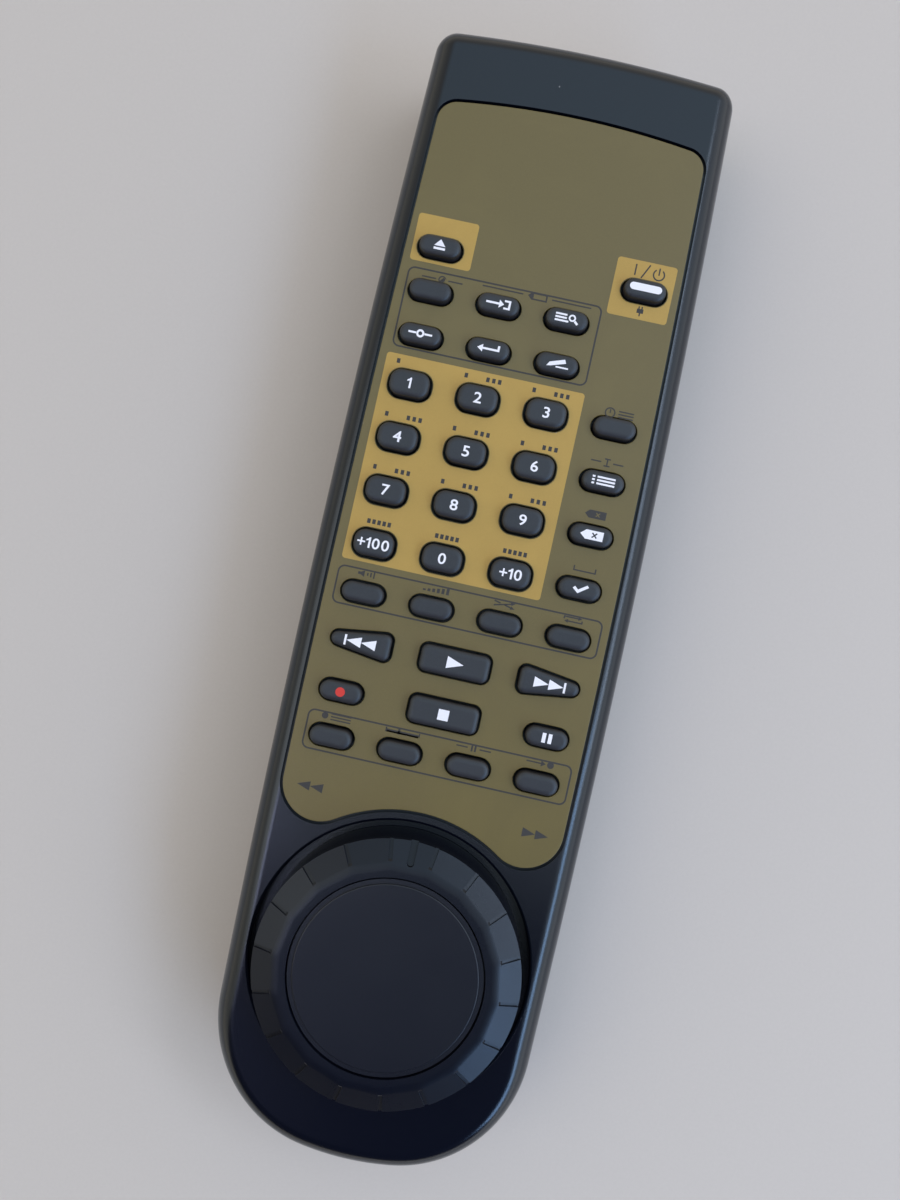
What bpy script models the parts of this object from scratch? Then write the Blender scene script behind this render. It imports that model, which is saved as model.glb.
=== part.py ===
# Remote control handset of a disc deck, lying on its back.
# Frame in metres: +X to the right, +Y to the infrared end, +Z out of the key face, floor at zero.

from math import acos, atan2, cos, hypot, pi, radians, sin, sqrt

import bmesh
import bpy
from mathutils import Matrix, Vector

# Clearances
FIT_GAP = 0.0003
CUT_OVERRUN = 0.002

# Key field, seen from above
COLUMN_PITCH = 0.0127
NUMBER_ROW_PITCH = 0.00995
ROW_STEP_SHARES = (0.0, 0.843, 0.952, 0.892, 0.916, 1.0, 1.0, 1.0, 0.923, 0.836, 0.822)
OVAL_KEY_LENGTH = 0.0086
OVAL_KEY_HEIGHT = 0.0044
NUMBER_KEY_LENGTH = 0.0082
NUMBER_KEY_HEIGHT = 0.0056
NUMBER_KEY_CORNER = 0.0024
WIDE_KEY_LENGTH = 0.0136
WIDE_KEY_HEIGHT = 0.0058
WIDE_KEY_CORNER = 0.0017
SKIP_KEY_LENGTH = 0.0118
SKIP_KEY_HEIGHT = 0.0057
SKIP_KEY_TIP_HEIGHT = 0.0033
SKIP_KEY_CORNER = 0.0016

# Keys in depth
KEY_GAP = 0.00045
KEY_TRAVEL = 0.0010
KEY_FLANGE_REACH = 0.00075
KEY_FLANGE_THICKNESS = 0.0008
KEY_PROUD_HEIGHT = 0.0018
KEY_EDGE_DROP = 0.0004
KEY_EDGE_INSET = 0.0007
KEY_HOLE_RELIEF = 0.0002

# Fascia plate
FASCIA_THICKNESS = 0.0007
FASCIA_SIDE_MARGIN = 0.00285
FASCIA_FOOT_MARGIN = 0.0100
FASCIA_GROOVE = 0.0005
FASCIA_TOP_RADIUS = 0.163
FASCIA_TOP_CORNER = 0.0045
FASCIA_LOBE_RADIUS = 0.0070
NAME_FIELD_LENGTH = 0.0288

# Case
HEAD_LENGTH = 0.0145
SIDE_RIM = 0.0044
TAIL_RIM = 0.0130
SIDE_BOW_RADIUS = 3.3
WIDEST_PLACE_SHARE = -0.026
HEAD_RADIUS = 0.290
HEAD_CORNER = 0.0047
TAIL_RADIUS = 0.0545
TAIL_CORNER = 0.0250
SHARPEST_CORNER = 0.0005
SIDE_WALL = 0.0020
TOP_WALL = 0.0014
BOTTOM_WALL = 0.0020
PARTING_HEIGHT = 0.0100
UPPER_DRAFT = 0.0004
SHOULDER_REACH = 0.0032
SHOULDER_DROP = 0.0049
LOWER_DRAFT = 0.0009
HEEL_REACH = 0.0032
HEEL_RISE = 0.0036
LIP_THICKNESS = 0.0009
LIP_HEIGHT = 0.0014
CEILING_INSET = 0.0044

# Shuttle dial
RECESS_RADIUS = 0.0255
RECESS_RIM = 0.0021
DIAL_GAP = 0.0015
DIAL_PROUD_HEIGHT = 0.0073
DIAL_BAND_DROP = 0.0018
DIAL_DRAFT = 0.0003
DIAL_BAND_REACH = 0.0045
DIAL_WALL = 0.0018
DIAL_PLATE = 0.0016
CREST_WIDTH = 0.0018
CAP_GROOVE_WIDTH = 0.0011
CAP_GROOVE_DEPTH = 0.0003
CAP_THICKNESS = 0.0016
CAP_EDGE = 0.0003
NOTCH_COUNT = 18
NOTCH_WIDTH = 0.0007
NOTCH_DEPTH = 0.0005
NOTCH_START_GAP = 0.0008
NOTCH_RAMP = 0.0005
POINTER_WIDTH = 0.0013
POINTER_DEPTH = 0.0008
POINTER_START_GAP = 0.0004

# Shuttle switch and its return spring
SWITCH_RADIUS = 0.0080
SWITCH_HEIGHT = 0.0042
SWITCH_HOLE_RADIUS = 0.0090
SHAFT_RADIUS = 0.0025
HUB_WALL = 0.0022
HUB_LENGTH = 0.0033
RETURN_SPRING_RADIUS = 0.0118
RETURN_SPRING_WIRE = 0.0009
RETURN_SPRING_PITCH = 0.0013
RETURN_SPRING_TURNS = 2.5

# Power
CELL_DIAMETER = 0.0142
CELL_LENGTH = 0.0495
CELL_BUTTON_RADIUS = 0.0027
CELL_BUTTON_HEIGHT = 0.0010
CELL_SHOULDER = 0.0006
CELL_SPACING = 0.0006
COMPARTMENT_TAIL_MARGIN = 0.0115
COMPARTMENT_WALL = 0.0012
COMPARTMENT_ROOF = 0.0010
CONTACT_SPRING_LENGTH = 0.0050
CONTACT_SPRING_RADIUS = 0.0042
CONTACT_SPRING_TIP_RADIUS = 0.0024
CONTACT_SPRING_WIRE = 0.0008
CONTACT_SPRING_TURNS = 3.5
CONTACT_PLATE_THICKNESS = 0.0004
CONTACT_PLATE_WIDTH = 0.0100
CONTACT_PLATE_HEIGHT = 0.0090

# Battery door
DOOR_THICKNESS = 0.0020
DOOR_TONGUE_THICKNESS = 0.0010
DOOR_TONGUE_REACH = 0.0014
DOOR_COVER_MARGIN = 0.0002
DOOR_END_LAP = 0.0020
RAIL_PAD_HEIGHT = 0.0035
RAIL_PAD_REACH = 0.0015
GRIP_GROOVE_COUNT = 5
GRIP_GROOVE_WIDTH = 0.0010
GRIP_GROOVE_PITCH = 0.0020
GRIP_GROOVE_LENGTH = 0.0130
GRIP_GROOVE_DEPTH = 0.0004
GRIP_TAIL_MARGIN = 0.0110
ARROW_LENGTH = 0.0040
ARROW_WIDTH = 0.0050

# Electronics
BOARD_THICKNESS = 0.0016
BOARD_INSET = 0.0035
MAT_THICKNESS = 0.0012
MAT_MARGIN = 0.0012
CHIP_LENGTH = 0.0150
CHIP_WIDTH = 0.0076
CHIP_THICKNESS = 0.0017
CHIP_PLACE = 0.0200
LED_RADIUS = 0.0025
LED_FLANGE_RADIUS = 0.0029
LED_FLANGE_THICKNESS = 0.0010
LED_LENGTH = 0.0086
LED_LEG_SIZE = 0.0005
LED_LEG_SPACING = 0.00254
LED_LEG_REACH = 0.0025
WINDOW_WIDTH = 0.0160
WINDOW_HEIGHT = 0.0050
WINDOW_SINK = 0.0007
WINDOW_FLANGE_REACH = 0.0015
WINDOW_FLANGE_THICKNESS = 0.0012

# Screws
SCREW_RADIUS = 0.0014
SCREW_HEAD_RADIUS = 0.0028
SCREW_HEAD_HEIGHT = 0.0017
SCREW_LENGTH = 0.0120
SCREW_HEAD_SINK = 0.0010
SCREW_SLOT_WIDTH = 0.0006
SCREW_SLOT_DEPTH = 0.0006
SCREW_SEAT = 0.0030
POST_HEIGHT = 0.0062
POST_WALL = 0.0010
BOSS_WALL = 0.0015
HEAD_SCREW_GAP = 0.0180
TAIL_SCREW_SIDE_MARGIN = 0.0086
TAIL_SCREW_GAP = 0.0148

# Facets
ARC_STEPS = {"tail": 3, "tail_corner": 6, "side": 3, "head_corner": 4, "head": 3}
FASCIA_STEPS = {"concave": 5, "lobe": 5, "side": 3, "corner": 3, "head": 3}
ROUND_STEPS = 36
SMALL_ROUND_STEPS = 14
SCREW_STEPS = 12
SPRING_STEPS = 8
SHOULDER_STEPS = 4
HEEL_STEPS = 3
SMOOTH_ANGLE = radians(35)

# Key rows from the tail to the head: name, kind, column in pitches from the mid-line
ROW_COLUMN_SHARES = (
    (("record_mode_key", "oval", -1.5), ("level_mode_key", "oval", -0.5),
     ("auto_pause_key", "oval", 0.5), ("record_input_key", "oval", 1.5)),
    (("record_key", "oval", -1.5), ("stop_key", "wide", 0.0), ("pause_key", "oval", 1.5)),
    (("skip_back_key", "skip_back", -1.370), ("play_key", "wide", 0.0),
     ("skip_forward_key", "skip_forward", 1.370)),
    (("monitor_key", "oval", -1.5), ("meter_key", "oval", -0.5),
     ("random_key", "oval", 0.5), ("repeat_key", "oval", 1.5)),
    (("number_plus_100_key", "number", -1.5), ("number_0_key", "number", -0.5),
     ("number_plus_10_key", "number", 0.5), ("check_key", "oval", 1.5)),
    (("number_7_key", "number", -1.5), ("number_8_key", "number", -0.5),
     ("number_9_key", "number", 0.5), ("clear_key", "oval", 1.5)),
    (("number_4_key", "number", -1.5), ("number_5_key", "number", -0.5),
     ("number_6_key", "number", 0.5), ("program_key", "oval", 1.5)),
    (("number_1_key", "number", -1.5), ("number_2_key", "number", -0.5),
     ("number_3_key", "number", 0.5), ("time_key", "oval", 1.5)),
    (("set_key", "oval", -1.5), ("enter_key", "oval", -0.5), ("edit_key", "oval", 0.5)),
    (("cancel_key", "oval", -1.5), ("input_key", "oval", -0.5), ("search_key", "oval", 0.5)),
    (("eject_key", "oval", -1.5), ("power_key", "oval", 1.5)),
)
OUTER_COLUMN_SHARE = 1.5

# Lengths that follow along the handset
concave_radius = RECESS_RADIUS + RECESS_RIM
rows_length = NUMBER_ROW_PITCH * sum(ROW_STEP_SHARES)
case_length = (TAIL_RIM + RECESS_RADIUS + concave_radius + FASCIA_FOOT_MARGIN
               + rows_length + NAME_FIELD_LENGTH + HEAD_LENGTH)
head_y = case_length / 2
tail_y = -case_length / 2
dial_y = tail_y + TAIL_RIM + RECESS_RADIUS
first_row_y = dial_y + concave_radius + FASCIA_FOOT_MARGIN
fascia_head_y = head_y - HEAD_LENGTH

# Widths that follow
field_width = 2 * OUTER_COLUMN_SHARE * COLUMN_PITCH + OVAL_KEY_LENGTH
fascia_width = field_width + 2 * FASCIA_SIDE_MARGIN
case_width = max(fascia_width + 2 * SIDE_RIM, 2 * (RECESS_RADIUS + TOP_WALL + SHOULDER_REACH))
side_rim = (case_width - fascia_width) / 2

# Heights that follow, from the floor up
cell_base_z = DOOR_THICKNESS + FIT_GAP
cell_centre_z = cell_base_z + CELL_DIAMETER / 2
roof_base_z = cell_base_z + CELL_DIAMETER + FIT_GAP
roof_top_z = roof_base_z + COMPARTMENT_ROOF
board_base_z = roof_top_z + FIT_GAP
board_top_z = board_base_z + BOARD_THICKNESS
mat_base_z = board_top_z + FIT_GAP
mat_top_z = mat_base_z + MAT_THICKNESS
flange_base_z = board_top_z + FIT_GAP + KEY_TRAVEL
flange_top_z = flange_base_z + KEY_FLANGE_THICKNESS
ceiling_z = flange_top_z + FIT_GAP
pocket_z = ceiling_z + TOP_WALL
fascia_base_z = pocket_z + FIT_GAP
fascia_top_z = fascia_base_z + FASCIA_THICKNESS
key_top_z = fascia_top_z + KEY_PROUD_HEIGHT
pan_base_z = board_top_z + FIT_GAP
pan_top_z = pan_base_z + TOP_WALL
dial_base_z = pan_top_z + FIT_GAP
dial_top_z = fascia_top_z + DIAL_PROUD_HEIGHT
shoulder_z = fascia_top_z - SHOULDER_DROP
upper_base_z = PARTING_HEIGHT + FIT_GAP / 2
lower_top_z = PARTING_HEIGHT - FIT_GAP / 2
lip_inset = SIDE_WALL - LIP_THICKNESS
lip_top_z = lower_top_z + LIP_HEIGHT

# Dial sizes that follow
dial_radius = RECESS_RADIUS - DIAL_GAP - DIAL_DRAFT
crest_radius = dial_radius - DIAL_BAND_REACH
groove_radius = crest_radius - CREST_WIDTH
cap_seat_z = dial_top_z - CAP_THICKNESS - FIT_GAP
dial_plate_z = cap_seat_z - DIAL_PLATE
hub_base_z = dial_plate_z - HUB_LENGTH
bore_radius = SHAFT_RADIUS + FIT_GAP
hub_radius = bore_radius + HUB_WALL

# Infrared end: the curved wall steps back at the window's sides
led_axis_z = board_base_z - FIT_GAP - LED_FLANGE_RADIUS
window_half_width = WINDOW_WIDTH / 2 + WINDOW_FLANGE_REACH
head_step_back = HEAD_RADIUS - sqrt(HEAD_RADIUS ** 2 - window_half_width ** 2)
window_flange_y = head_y - SIDE_WALL - UPPER_DRAFT - head_step_back - FIT_GAP
window_back_y = window_flange_y - WINDOW_FLANGE_THICKNESS

# Battery compartment
cell_x = CELL_DIAMETER / 2 + CELL_SPACING / 2
compartment_half_width = cell_x + CELL_DIAMETER / 2 + FIT_GAP
cell_room = CELL_LENGTH + CELL_BUTTON_HEIGHT
contact_room = CONTACT_SPRING_LENGTH + CONTACT_PLATE_THICKNESS + 3 * FIT_GAP
compartment_tail_y = tail_y + COMPARTMENT_TAIL_MARGIN
compartment_head_y = compartment_tail_y + cell_room + contact_room + FIT_GAP
door_half_width = compartment_half_width + DOOR_COVER_MARGIN
tongue_half_width = door_half_width + DOOR_TONGUE_REACH
door_head_y = compartment_head_y + DOOR_END_LAP
tongue_base_z = DOOR_THICKNESS - DOOR_TONGUE_THICKNESS

# Screw places
tail_screw_x = case_width / 2 - TAIL_SCREW_SIDE_MARGIN
screw_places = {
    "head": (0.0, first_row_y + rows_length + HEAD_SCREW_GAP),
    "left": (-tail_screw_x, first_row_y - TAIL_SCREW_GAP),
    "right": (tail_screw_x, first_row_y - TAIL_SCREW_GAP),
}
boss_radius = SCREW_RADIUS + FIT_GAP + BOSS_WALL
post_radius = SCREW_HEAD_RADIUS + FIT_GAP + POST_WALL

# Colours are linear, as the photograph's shaded areas suggest
MATERIAL_LOOKS = {
    "case_plastic": ((0.030, 0.035, 0.043), 0.45, 0.0),
    "fascia_paint": ((0.165, 0.130, 0.060), 0.38, 0.3),
    "key_rubber": ((0.024, 0.027, 0.033), 0.55, 0.0),
    "dial_plastic": ((0.028, 0.032, 0.038), 0.42, 0.0),
    "window_plastic": ((0.030, 0.004, 0.008), 0.10, 0.0),
    "board_laminate": ((0.060, 0.120, 0.045), 0.50, 0.0),
    "mat_rubber": ((0.100, 0.100, 0.105), 0.70, 0.0),
    "led_resin": ((0.120, 0.080, 0.160), 0.15, 0.0),
    "chip_resin": ((0.015, 0.015, 0.016), 0.45, 0.0),
    "spring_steel": ((0.550, 0.550, 0.560), 0.25, 1.0),
    "screw_steel": ((0.350, 0.350, 0.350), 0.35, 1.0),
    "cell_wrap": ((0.120, 0.150, 0.180), 0.35, 0.2),
    "switch_plastic": ((0.050, 0.050, 0.055), 0.50, 0.0),
}


def clear_scene():
    for item in list(bpy.data.objects):
        bpy.data.objects.remove(item, do_unlink=True)


def make_materials():
    materials = {}
    for name, (colour, roughness, metallic) in MATERIAL_LOOKS.items():
        made = bpy.data.materials.new(name)
        made.use_nodes = True
        shader = made.node_tree.nodes["Principled BSDF"]
        shader.inputs["Base Color"].default_value = (*colour, 1.0)
        shader.inputs["Roughness"].default_value = roughness
        shader.inputs["Metallic"].default_value = metallic
        made.diffuse_color = (*colour, 1.0)
        materials[name] = made
    return materials


# Outlines

def arc(centre, radius, start, end, steps):
    points = []
    for step in range(steps + 1):
        angle = start + (end - start) * step / steps
        points.append((centre[0] + radius * cos(angle), centre[1] + radius * sin(angle)))
    return points


def direction(start, end):
    return atan2(end[1] - start[1], end[0] - start[0])


# Where two circles cross: the crossing nearer the head or the one nearer the tail
def crossing(first, first_radius, second, second_radius, at_head):
    span = hypot(second[0] - first[0], second[1] - first[1])
    along = (span * span + first_radius ** 2 - second_radius ** 2) / (2 * span)
    across = sqrt(first_radius ** 2 - along ** 2)
    heading = direction(first, second)
    found = [(first[0] + along * cos(heading) - side * across * sin(heading),
              first[1] + along * sin(heading) + side * across * cos(heading)) for side in (1, -1)]
    found.sort(key=lambda point: point[1])
    return found[1] if at_head else found[0]


def without_repeats(points):
    kept = []
    for point in points:
        if not kept or hypot(point[0] - kept[-1][0], point[1] - kept[-1][1]) > FIT_GAP / 100:
            kept.append(point)
    return kept


# A right half that runs from the tail's mid-line to the head's, and its mirror image
def mirrored(half):
    half = without_repeats(half)
    left = [(-x, y) for x, y in reversed(half[1:-1])]
    return half + left


# The case seen from above, drawn in all round by the inset
def case_outline(inset):
    side_centre = (case_width / 2 - SIDE_BOW_RADIUS, WIDEST_PLACE_SHARE * case_length)
    side_radius = SIDE_BOW_RADIUS - inset
    head_centre = (0.0, head_y - HEAD_RADIUS)
    head_radius = HEAD_RADIUS - inset
    tail_centre = (0.0, tail_y + TAIL_RADIUS)
    tail_radius = TAIL_RADIUS - inset
    head_corner = max(HEAD_CORNER - inset, SHARPEST_CORNER)
    tail_corner = max(TAIL_CORNER - inset, SHARPEST_CORNER)
    head_turn = crossing(side_centre, side_radius - head_corner,
                         head_centre, head_radius - head_corner, True)
    tail_turn = crossing(side_centre, side_radius - tail_corner,
                         tail_centre, tail_radius - tail_corner, False)
    half = arc(tail_centre, tail_radius, -pi / 2, direction(tail_centre, tail_turn), ARC_STEPS["tail"])
    half += arc(tail_turn, tail_corner, direction(tail_centre, tail_turn),
                direction(side_centre, tail_turn), ARC_STEPS["tail_corner"])
    half += arc(side_centre, side_radius, direction(side_centre, tail_turn),
                direction(side_centre, head_turn), ARC_STEPS["side"])
    half += arc(head_turn, head_corner, direction(side_centre, head_turn),
                direction(head_centre, head_turn), ARC_STEPS["head_corner"])
    half += arc(head_centre, head_radius, direction(head_centre, head_turn), pi / 2, ARC_STEPS["head"])
    return mirrored(half)


# The fascia plate seen from above, grown all round; its foot runs round the dial and ends in two lobes
def fascia_outline(growth):
    side_centre = (case_width / 2 - SIDE_BOW_RADIUS, WIDEST_PLACE_SHARE * case_length)
    side_radius = SIDE_BOW_RADIUS - side_rim + growth
    head_centre = (0.0, fascia_head_y - FASCIA_TOP_RADIUS)
    head_radius = FASCIA_TOP_RADIUS + growth
    corner = FASCIA_TOP_CORNER + growth
    lobe = FASCIA_LOBE_RADIUS + growth
    dial_centre = (0.0, dial_y)
    foot_radius = concave_radius - growth
    head_turn = crossing(side_centre, side_radius - corner, head_centre, head_radius - corner, True)
    lobe_turn = crossing(side_centre, side_radius - lobe, dial_centre, foot_radius + lobe, True)
    half = arc(dial_centre, foot_radius, pi / 2, direction(dial_centre, lobe_turn), FASCIA_STEPS["concave"])
    half += arc(lobe_turn, lobe, direction(dial_centre, lobe_turn) - pi,
                direction(side_centre, lobe_turn), FASCIA_STEPS["lobe"])
    half += arc(side_centre, side_radius, direction(side_centre, lobe_turn),
                direction(side_centre, head_turn), FASCIA_STEPS["side"])
    half += arc(head_turn, corner, direction(side_centre, head_turn),
                direction(head_centre, head_turn), FASCIA_STEPS["corner"])
    half += arc(head_centre, head_radius, direction(head_centre, head_turn), pi / 2, FASCIA_STEPS["head"])
    return mirrored(half)


def rectangle(x_from, x_to, y_from, y_to):
    return [(x_from, y_from), (x_to, y_from), (x_to, y_to), (x_from, y_to)]


# A belt drawn round discs given counterclockwise as (x, y, radius, steps), all of them grown alike
def belt(discs, growth, place):
    points = []
    for index, (x, y, radius, steps) in enumerate(discs):
        before = discs[index - 1]
        after = discs[(index + 1) % len(discs)]
        start = outward_normal(before, discs[index])
        end = outward_normal(discs[index], after)
        while end < start:
            end += 2 * pi
        points += arc((place[0] + x, place[1] + y), radius + growth, start, end, steps)
    return without_repeats(points)


def outward_normal(disc, following):
    span = hypot(following[0] - disc[0], following[1] - disc[1])
    return direction(disc, following) - acos((disc[2] - following[2]) / span)


# Key holes

def round_ended_discs(length, height):
    reach = (length - height) / 2
    return [(reach, 0.0, height / 2, 4), (-reach, 0.0, height / 2, 4)]


def cornered_discs(length, height, corner):
    reach = length / 2 - corner
    rise = height / 2 - corner
    return [(reach, -rise, corner, 2), (reach, rise, corner, 2),
            (-reach, rise, corner, 2), (-reach, -rise, corner, 2)]


# The tall end faces the mid-line, so side is -1 for the key on the left
def skip_discs(side):
    tip = SKIP_KEY_TIP_HEIGHT / 2
    tip_reach = side * (SKIP_KEY_LENGTH / 2 - tip)
    wide_reach = -side * (SKIP_KEY_LENGTH / 2 - SKIP_KEY_CORNER)
    rise = SKIP_KEY_HEIGHT / 2 - SKIP_KEY_CORNER
    discs = [(tip_reach, 0.0, tip, 4), (wide_reach, side * rise, SKIP_KEY_CORNER, 3),
             (wide_reach, -side * rise, SKIP_KEY_CORNER, 3)]
    return discs


HOLE_DISCS = {
    "oval": round_ended_discs(OVAL_KEY_LENGTH, OVAL_KEY_HEIGHT),
    "number": cornered_discs(NUMBER_KEY_LENGTH, NUMBER_KEY_HEIGHT, NUMBER_KEY_CORNER),
    "wide": cornered_discs(WIDE_KEY_LENGTH, WIDE_KEY_HEIGHT, WIDE_KEY_CORNER),
    "skip_back": skip_discs(-1),
    "skip_forward": skip_discs(1),
}
HOLE_SIZES = {
    "oval": (OVAL_KEY_LENGTH, OVAL_KEY_HEIGHT),
    "number": (NUMBER_KEY_LENGTH, NUMBER_KEY_HEIGHT),
    "wide": (WIDE_KEY_LENGTH, WIDE_KEY_HEIGHT),
    "skip_back": (SKIP_KEY_LENGTH, SKIP_KEY_HEIGHT),
    "skip_forward": (SKIP_KEY_LENGTH, SKIP_KEY_HEIGHT),
}


def key_places():
    places = []
    y = first_row_y
    for step_share, row in zip(ROW_STEP_SHARES, ROW_COLUMN_SHARES):
        y += step_share * NUMBER_ROW_PITCH
        for name, kind, column_share in row:
            places.append((name, kind, (column_share * COLUMN_PITCH, y)))
    return places


def hole_box(kind, place, growth):
    length, height = HOLE_SIZES[kind]
    reach = length / 2 + growth
    rise = height / 2 + growth
    return rectangle(place[0] - reach, place[0] + reach, place[1] - rise, place[1] + rise)


# Solids

# Rings of equal length joined one after another, closed at both ends or into a loop
def loft_into(shape, rings, looped=False):
    loops = [[shape.verts.new(point) for point in ring] for ring in rings]
    pairs = list(zip(loops, loops[1:]))
    if looped:
        pairs.append((loops[-1], loops[0]))
    for lower, upper in pairs:
        count = len(lower)
        for index in range(count):
            following = (index + 1) % count
            shape.faces.new((lower[index], lower[following], upper[following], upper[index]))
    if not looped:
        shape.faces.new(list(reversed(loops[0])))
        shape.faces.new(loops[-1])


def at_height(outline, z):
    return [(x, y, z) for x, y in outline]


def prism_into(shape, outline, z_from, z_to):
    loft_into(shape, [at_height(outline, z_from), at_height(outline, z_to)])


def circle(place, radius, steps):
    return arc(place, radius, 0.0, 2 * pi, steps)[:-1]


# Stations (radius, distance) turned about the Z axis
def turned_rings(stations, steps):
    return [at_height(circle((0.0, 0.0), radius, steps), z) for radius, z in stations]


def finish(name, shape, material, matrix=None, smooth=True):
    if matrix:
        bmesh.ops.transform(shape, matrix=matrix, verts=shape.verts)
    bmesh.ops.recalc_face_normals(shape, faces=shape.faces)
    mesh = bpy.data.meshes.new(name)
    shape.to_mesh(mesh)
    shape.free()
    if material:
        mesh.materials.append(material)
    if smooth:
        mesh.shade_smooth()
        mesh.set_sharp_from_angle(angle=SMOOTH_ANGLE)
    made = bpy.data.objects.new(name, mesh)
    bpy.context.scene.collection.objects.link(made)
    return made


def lofted(name, rings, material, matrix=None):
    shape = bmesh.new()
    loft_into(shape, rings)
    return finish(name, shape, material, matrix)


# Several prisms, clear of one another, that cut together
def cutter_of_prisms(name, prisms):
    shape = bmesh.new()
    for outline, z_from, z_to in prisms:
        prism_into(shape, outline, z_from, z_to)
    return as_cutter(finish(name, shape, None, smooth=False))


def as_cutter(made):
    made.hide_render = True
    made.display_type = "WIRE"
    made.hide_set(True)
    return made


def combine(target, tool, operation):
    change = target.modifiers.new(tool.name, "BOOLEAN")
    change.operation = operation
    change.solver = "EXACT"
    change.object = tool
    return target


def cut(target, tool):
    return combine(target, tool, "DIFFERENCE")


def join(target, tool):
    return combine(target, tool, "UNION")


# The wire is a curve through the points, closed at its ends
def wire(name, points, thickness, material):
    curve = bpy.data.curves.new(name, "CURVE")
    curve.dimensions = "3D"
    curve.bevel_depth = thickness / 2
    curve.bevel_resolution = 1
    curve.render_resolution_u = 0
    curve.use_fill_caps = True
    spline = curve.splines.new("POLY")
    spline.points.add(len(points) - 1)
    for target, point in zip(spline.points, points):
        target.co = (*point, 1.0)
    curve.materials.append(material)
    made = bpy.data.objects.new(name, curve)
    bpy.context.scene.collection.objects.link(made)
    return made


def helix(turns, start_radius, end_radius, length):
    points = []
    count = round(turns * SPRING_STEPS)
    for step in range(count + 1):
        share = step / count
        angle = 2 * pi * turns * share
        radius = start_radius + (end_radius - start_radius) * share
        points.append(Vector((radius * cos(angle), radius * sin(angle), length * share)))
    return points


# Turns Z-up work so that it points along +Y, or along -Y
def lying(y_sign, place):
    return Matrix.Translation(place) @ Matrix.Rotation(-y_sign * pi / 2, 4, "X")


def box_rings(x_from, x_to, y_from, y_to, z_from, z_to):
    outline = rectangle(x_from, x_to, y_from, y_to)
    return [at_height(outline, z_from), at_height(outline, z_to)]


# Keys

def key_mesh(kind, material):
    discs = HOLE_DISCS[kind]
    origin = (0.0, 0.0)
    flange = belt(discs, KEY_FLANGE_REACH - KEY_GAP, origin)
    side = belt(discs, -KEY_GAP, origin)
    rim = belt(discs, -KEY_GAP - KEY_EDGE_INSET, origin)
    rings = [at_height(flange, flange_base_z), at_height(flange, flange_top_z),
             at_height(side, flange_top_z), at_height(side, key_top_z - KEY_EDGE_DROP),
             at_height(rim, key_top_z)]
    pattern = lofted(kind + "_key_pattern", rings, material)
    mesh = pattern.data
    bpy.data.objects.remove(pattern, do_unlink=True)
    return mesh


def make_keys(materials):
    meshes = {kind: key_mesh(kind, materials["key_rubber"]) for kind in HOLE_DISCS}
    for name, kind, place in key_places():
        key = bpy.data.objects.new(name, meshes[kind])
        key.location = (*place, 0.0)
        bpy.context.scene.collection.objects.link(key)


def make_fascia(materials):
    outline = fascia_outline(0.0)
    rings = [at_height(outline, fascia_base_z), at_height(outline, fascia_top_z)]
    plate = lofted("fascia_plate", rings, materials["fascia_paint"])
    holes = [(belt(HOLE_DISCS[kind], 0.0, place), fascia_base_z - CUT_OVERRUN, fascia_top_z + CUT_OVERRUN)
             for name, kind, place in key_places()]
    cut(plate, cutter_of_prisms("fascia_holes", holes))


def make_key_mat(materials):
    flange_growth = KEY_FLANGE_REACH - KEY_GAP
    half_width = field_width / 2 + flange_growth + MAT_MARGIN
    edge = OVAL_KEY_HEIGHT / 2 + flange_growth + MAT_MARGIN
    tail = first_row_y - edge
    head = first_row_y + rows_length + edge
    mat = lofted("key_mat", box_rings(-half_width, half_width, tail, head, mat_base_z, mat_top_z),
                 materials["mat_rubber"])
    holes = [(hole_box(kind, place, flange_growth + FIT_GAP),
              mat_base_z - CUT_OVERRUN, mat_top_z + CUT_OVERRUN) for name, kind, place in key_places()]
    cut(mat, cutter_of_prisms("mat_holes", holes))


# Case shells

def shoulder_rings():
    rings = [at_height(case_outline(0.0), upper_base_z)]
    for step in range(SHOULDER_STEPS + 1):
        turn = pi / 2 * step / SHOULDER_STEPS
        inset = UPPER_DRAFT + SHOULDER_REACH * (1 - cos(turn))
        rings.append(at_height(case_outline(inset), shoulder_z + SHOULDER_DROP * sin(turn)))
    return rings


def heel_rings():
    rings = []
    for step in range(HEEL_STEPS + 1):
        turn = pi / 2 * (1 - step / HEEL_STEPS)
        inset = LOWER_DRAFT + HEEL_REACH * (1 - cos(turn))
        rings.append(at_height(case_outline(inset), HEEL_RISE * (1 - sin(turn))))
    rings.append(at_height(case_outline(0.0), lower_top_z))
    return rings


def upper_cavity():
    rebate_inset = lip_inset - FIT_GAP
    rings = [at_height(case_outline(rebate_inset), upper_base_z - CUT_OVERRUN),
             at_height(case_outline(rebate_inset), lip_top_z + FIT_GAP),
             at_height(case_outline(SIDE_WALL), lip_top_z + FIT_GAP),
             at_height(case_outline(UPPER_DRAFT + SIDE_WALL), shoulder_z),
             at_height(case_outline(CEILING_INSET), ceiling_z)]
    cavity = as_cutter(lofted("upper_cavity", rings, None))
    pan = (circle((0.0, dial_y), RECESS_RADIUS + TOP_WALL, ROUND_STEPS // 2),
           pan_base_z, ceiling_z + CUT_OVERRUN)
    return cut(cavity, cutter_of_prisms("pan_form", [pan]))


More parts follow.
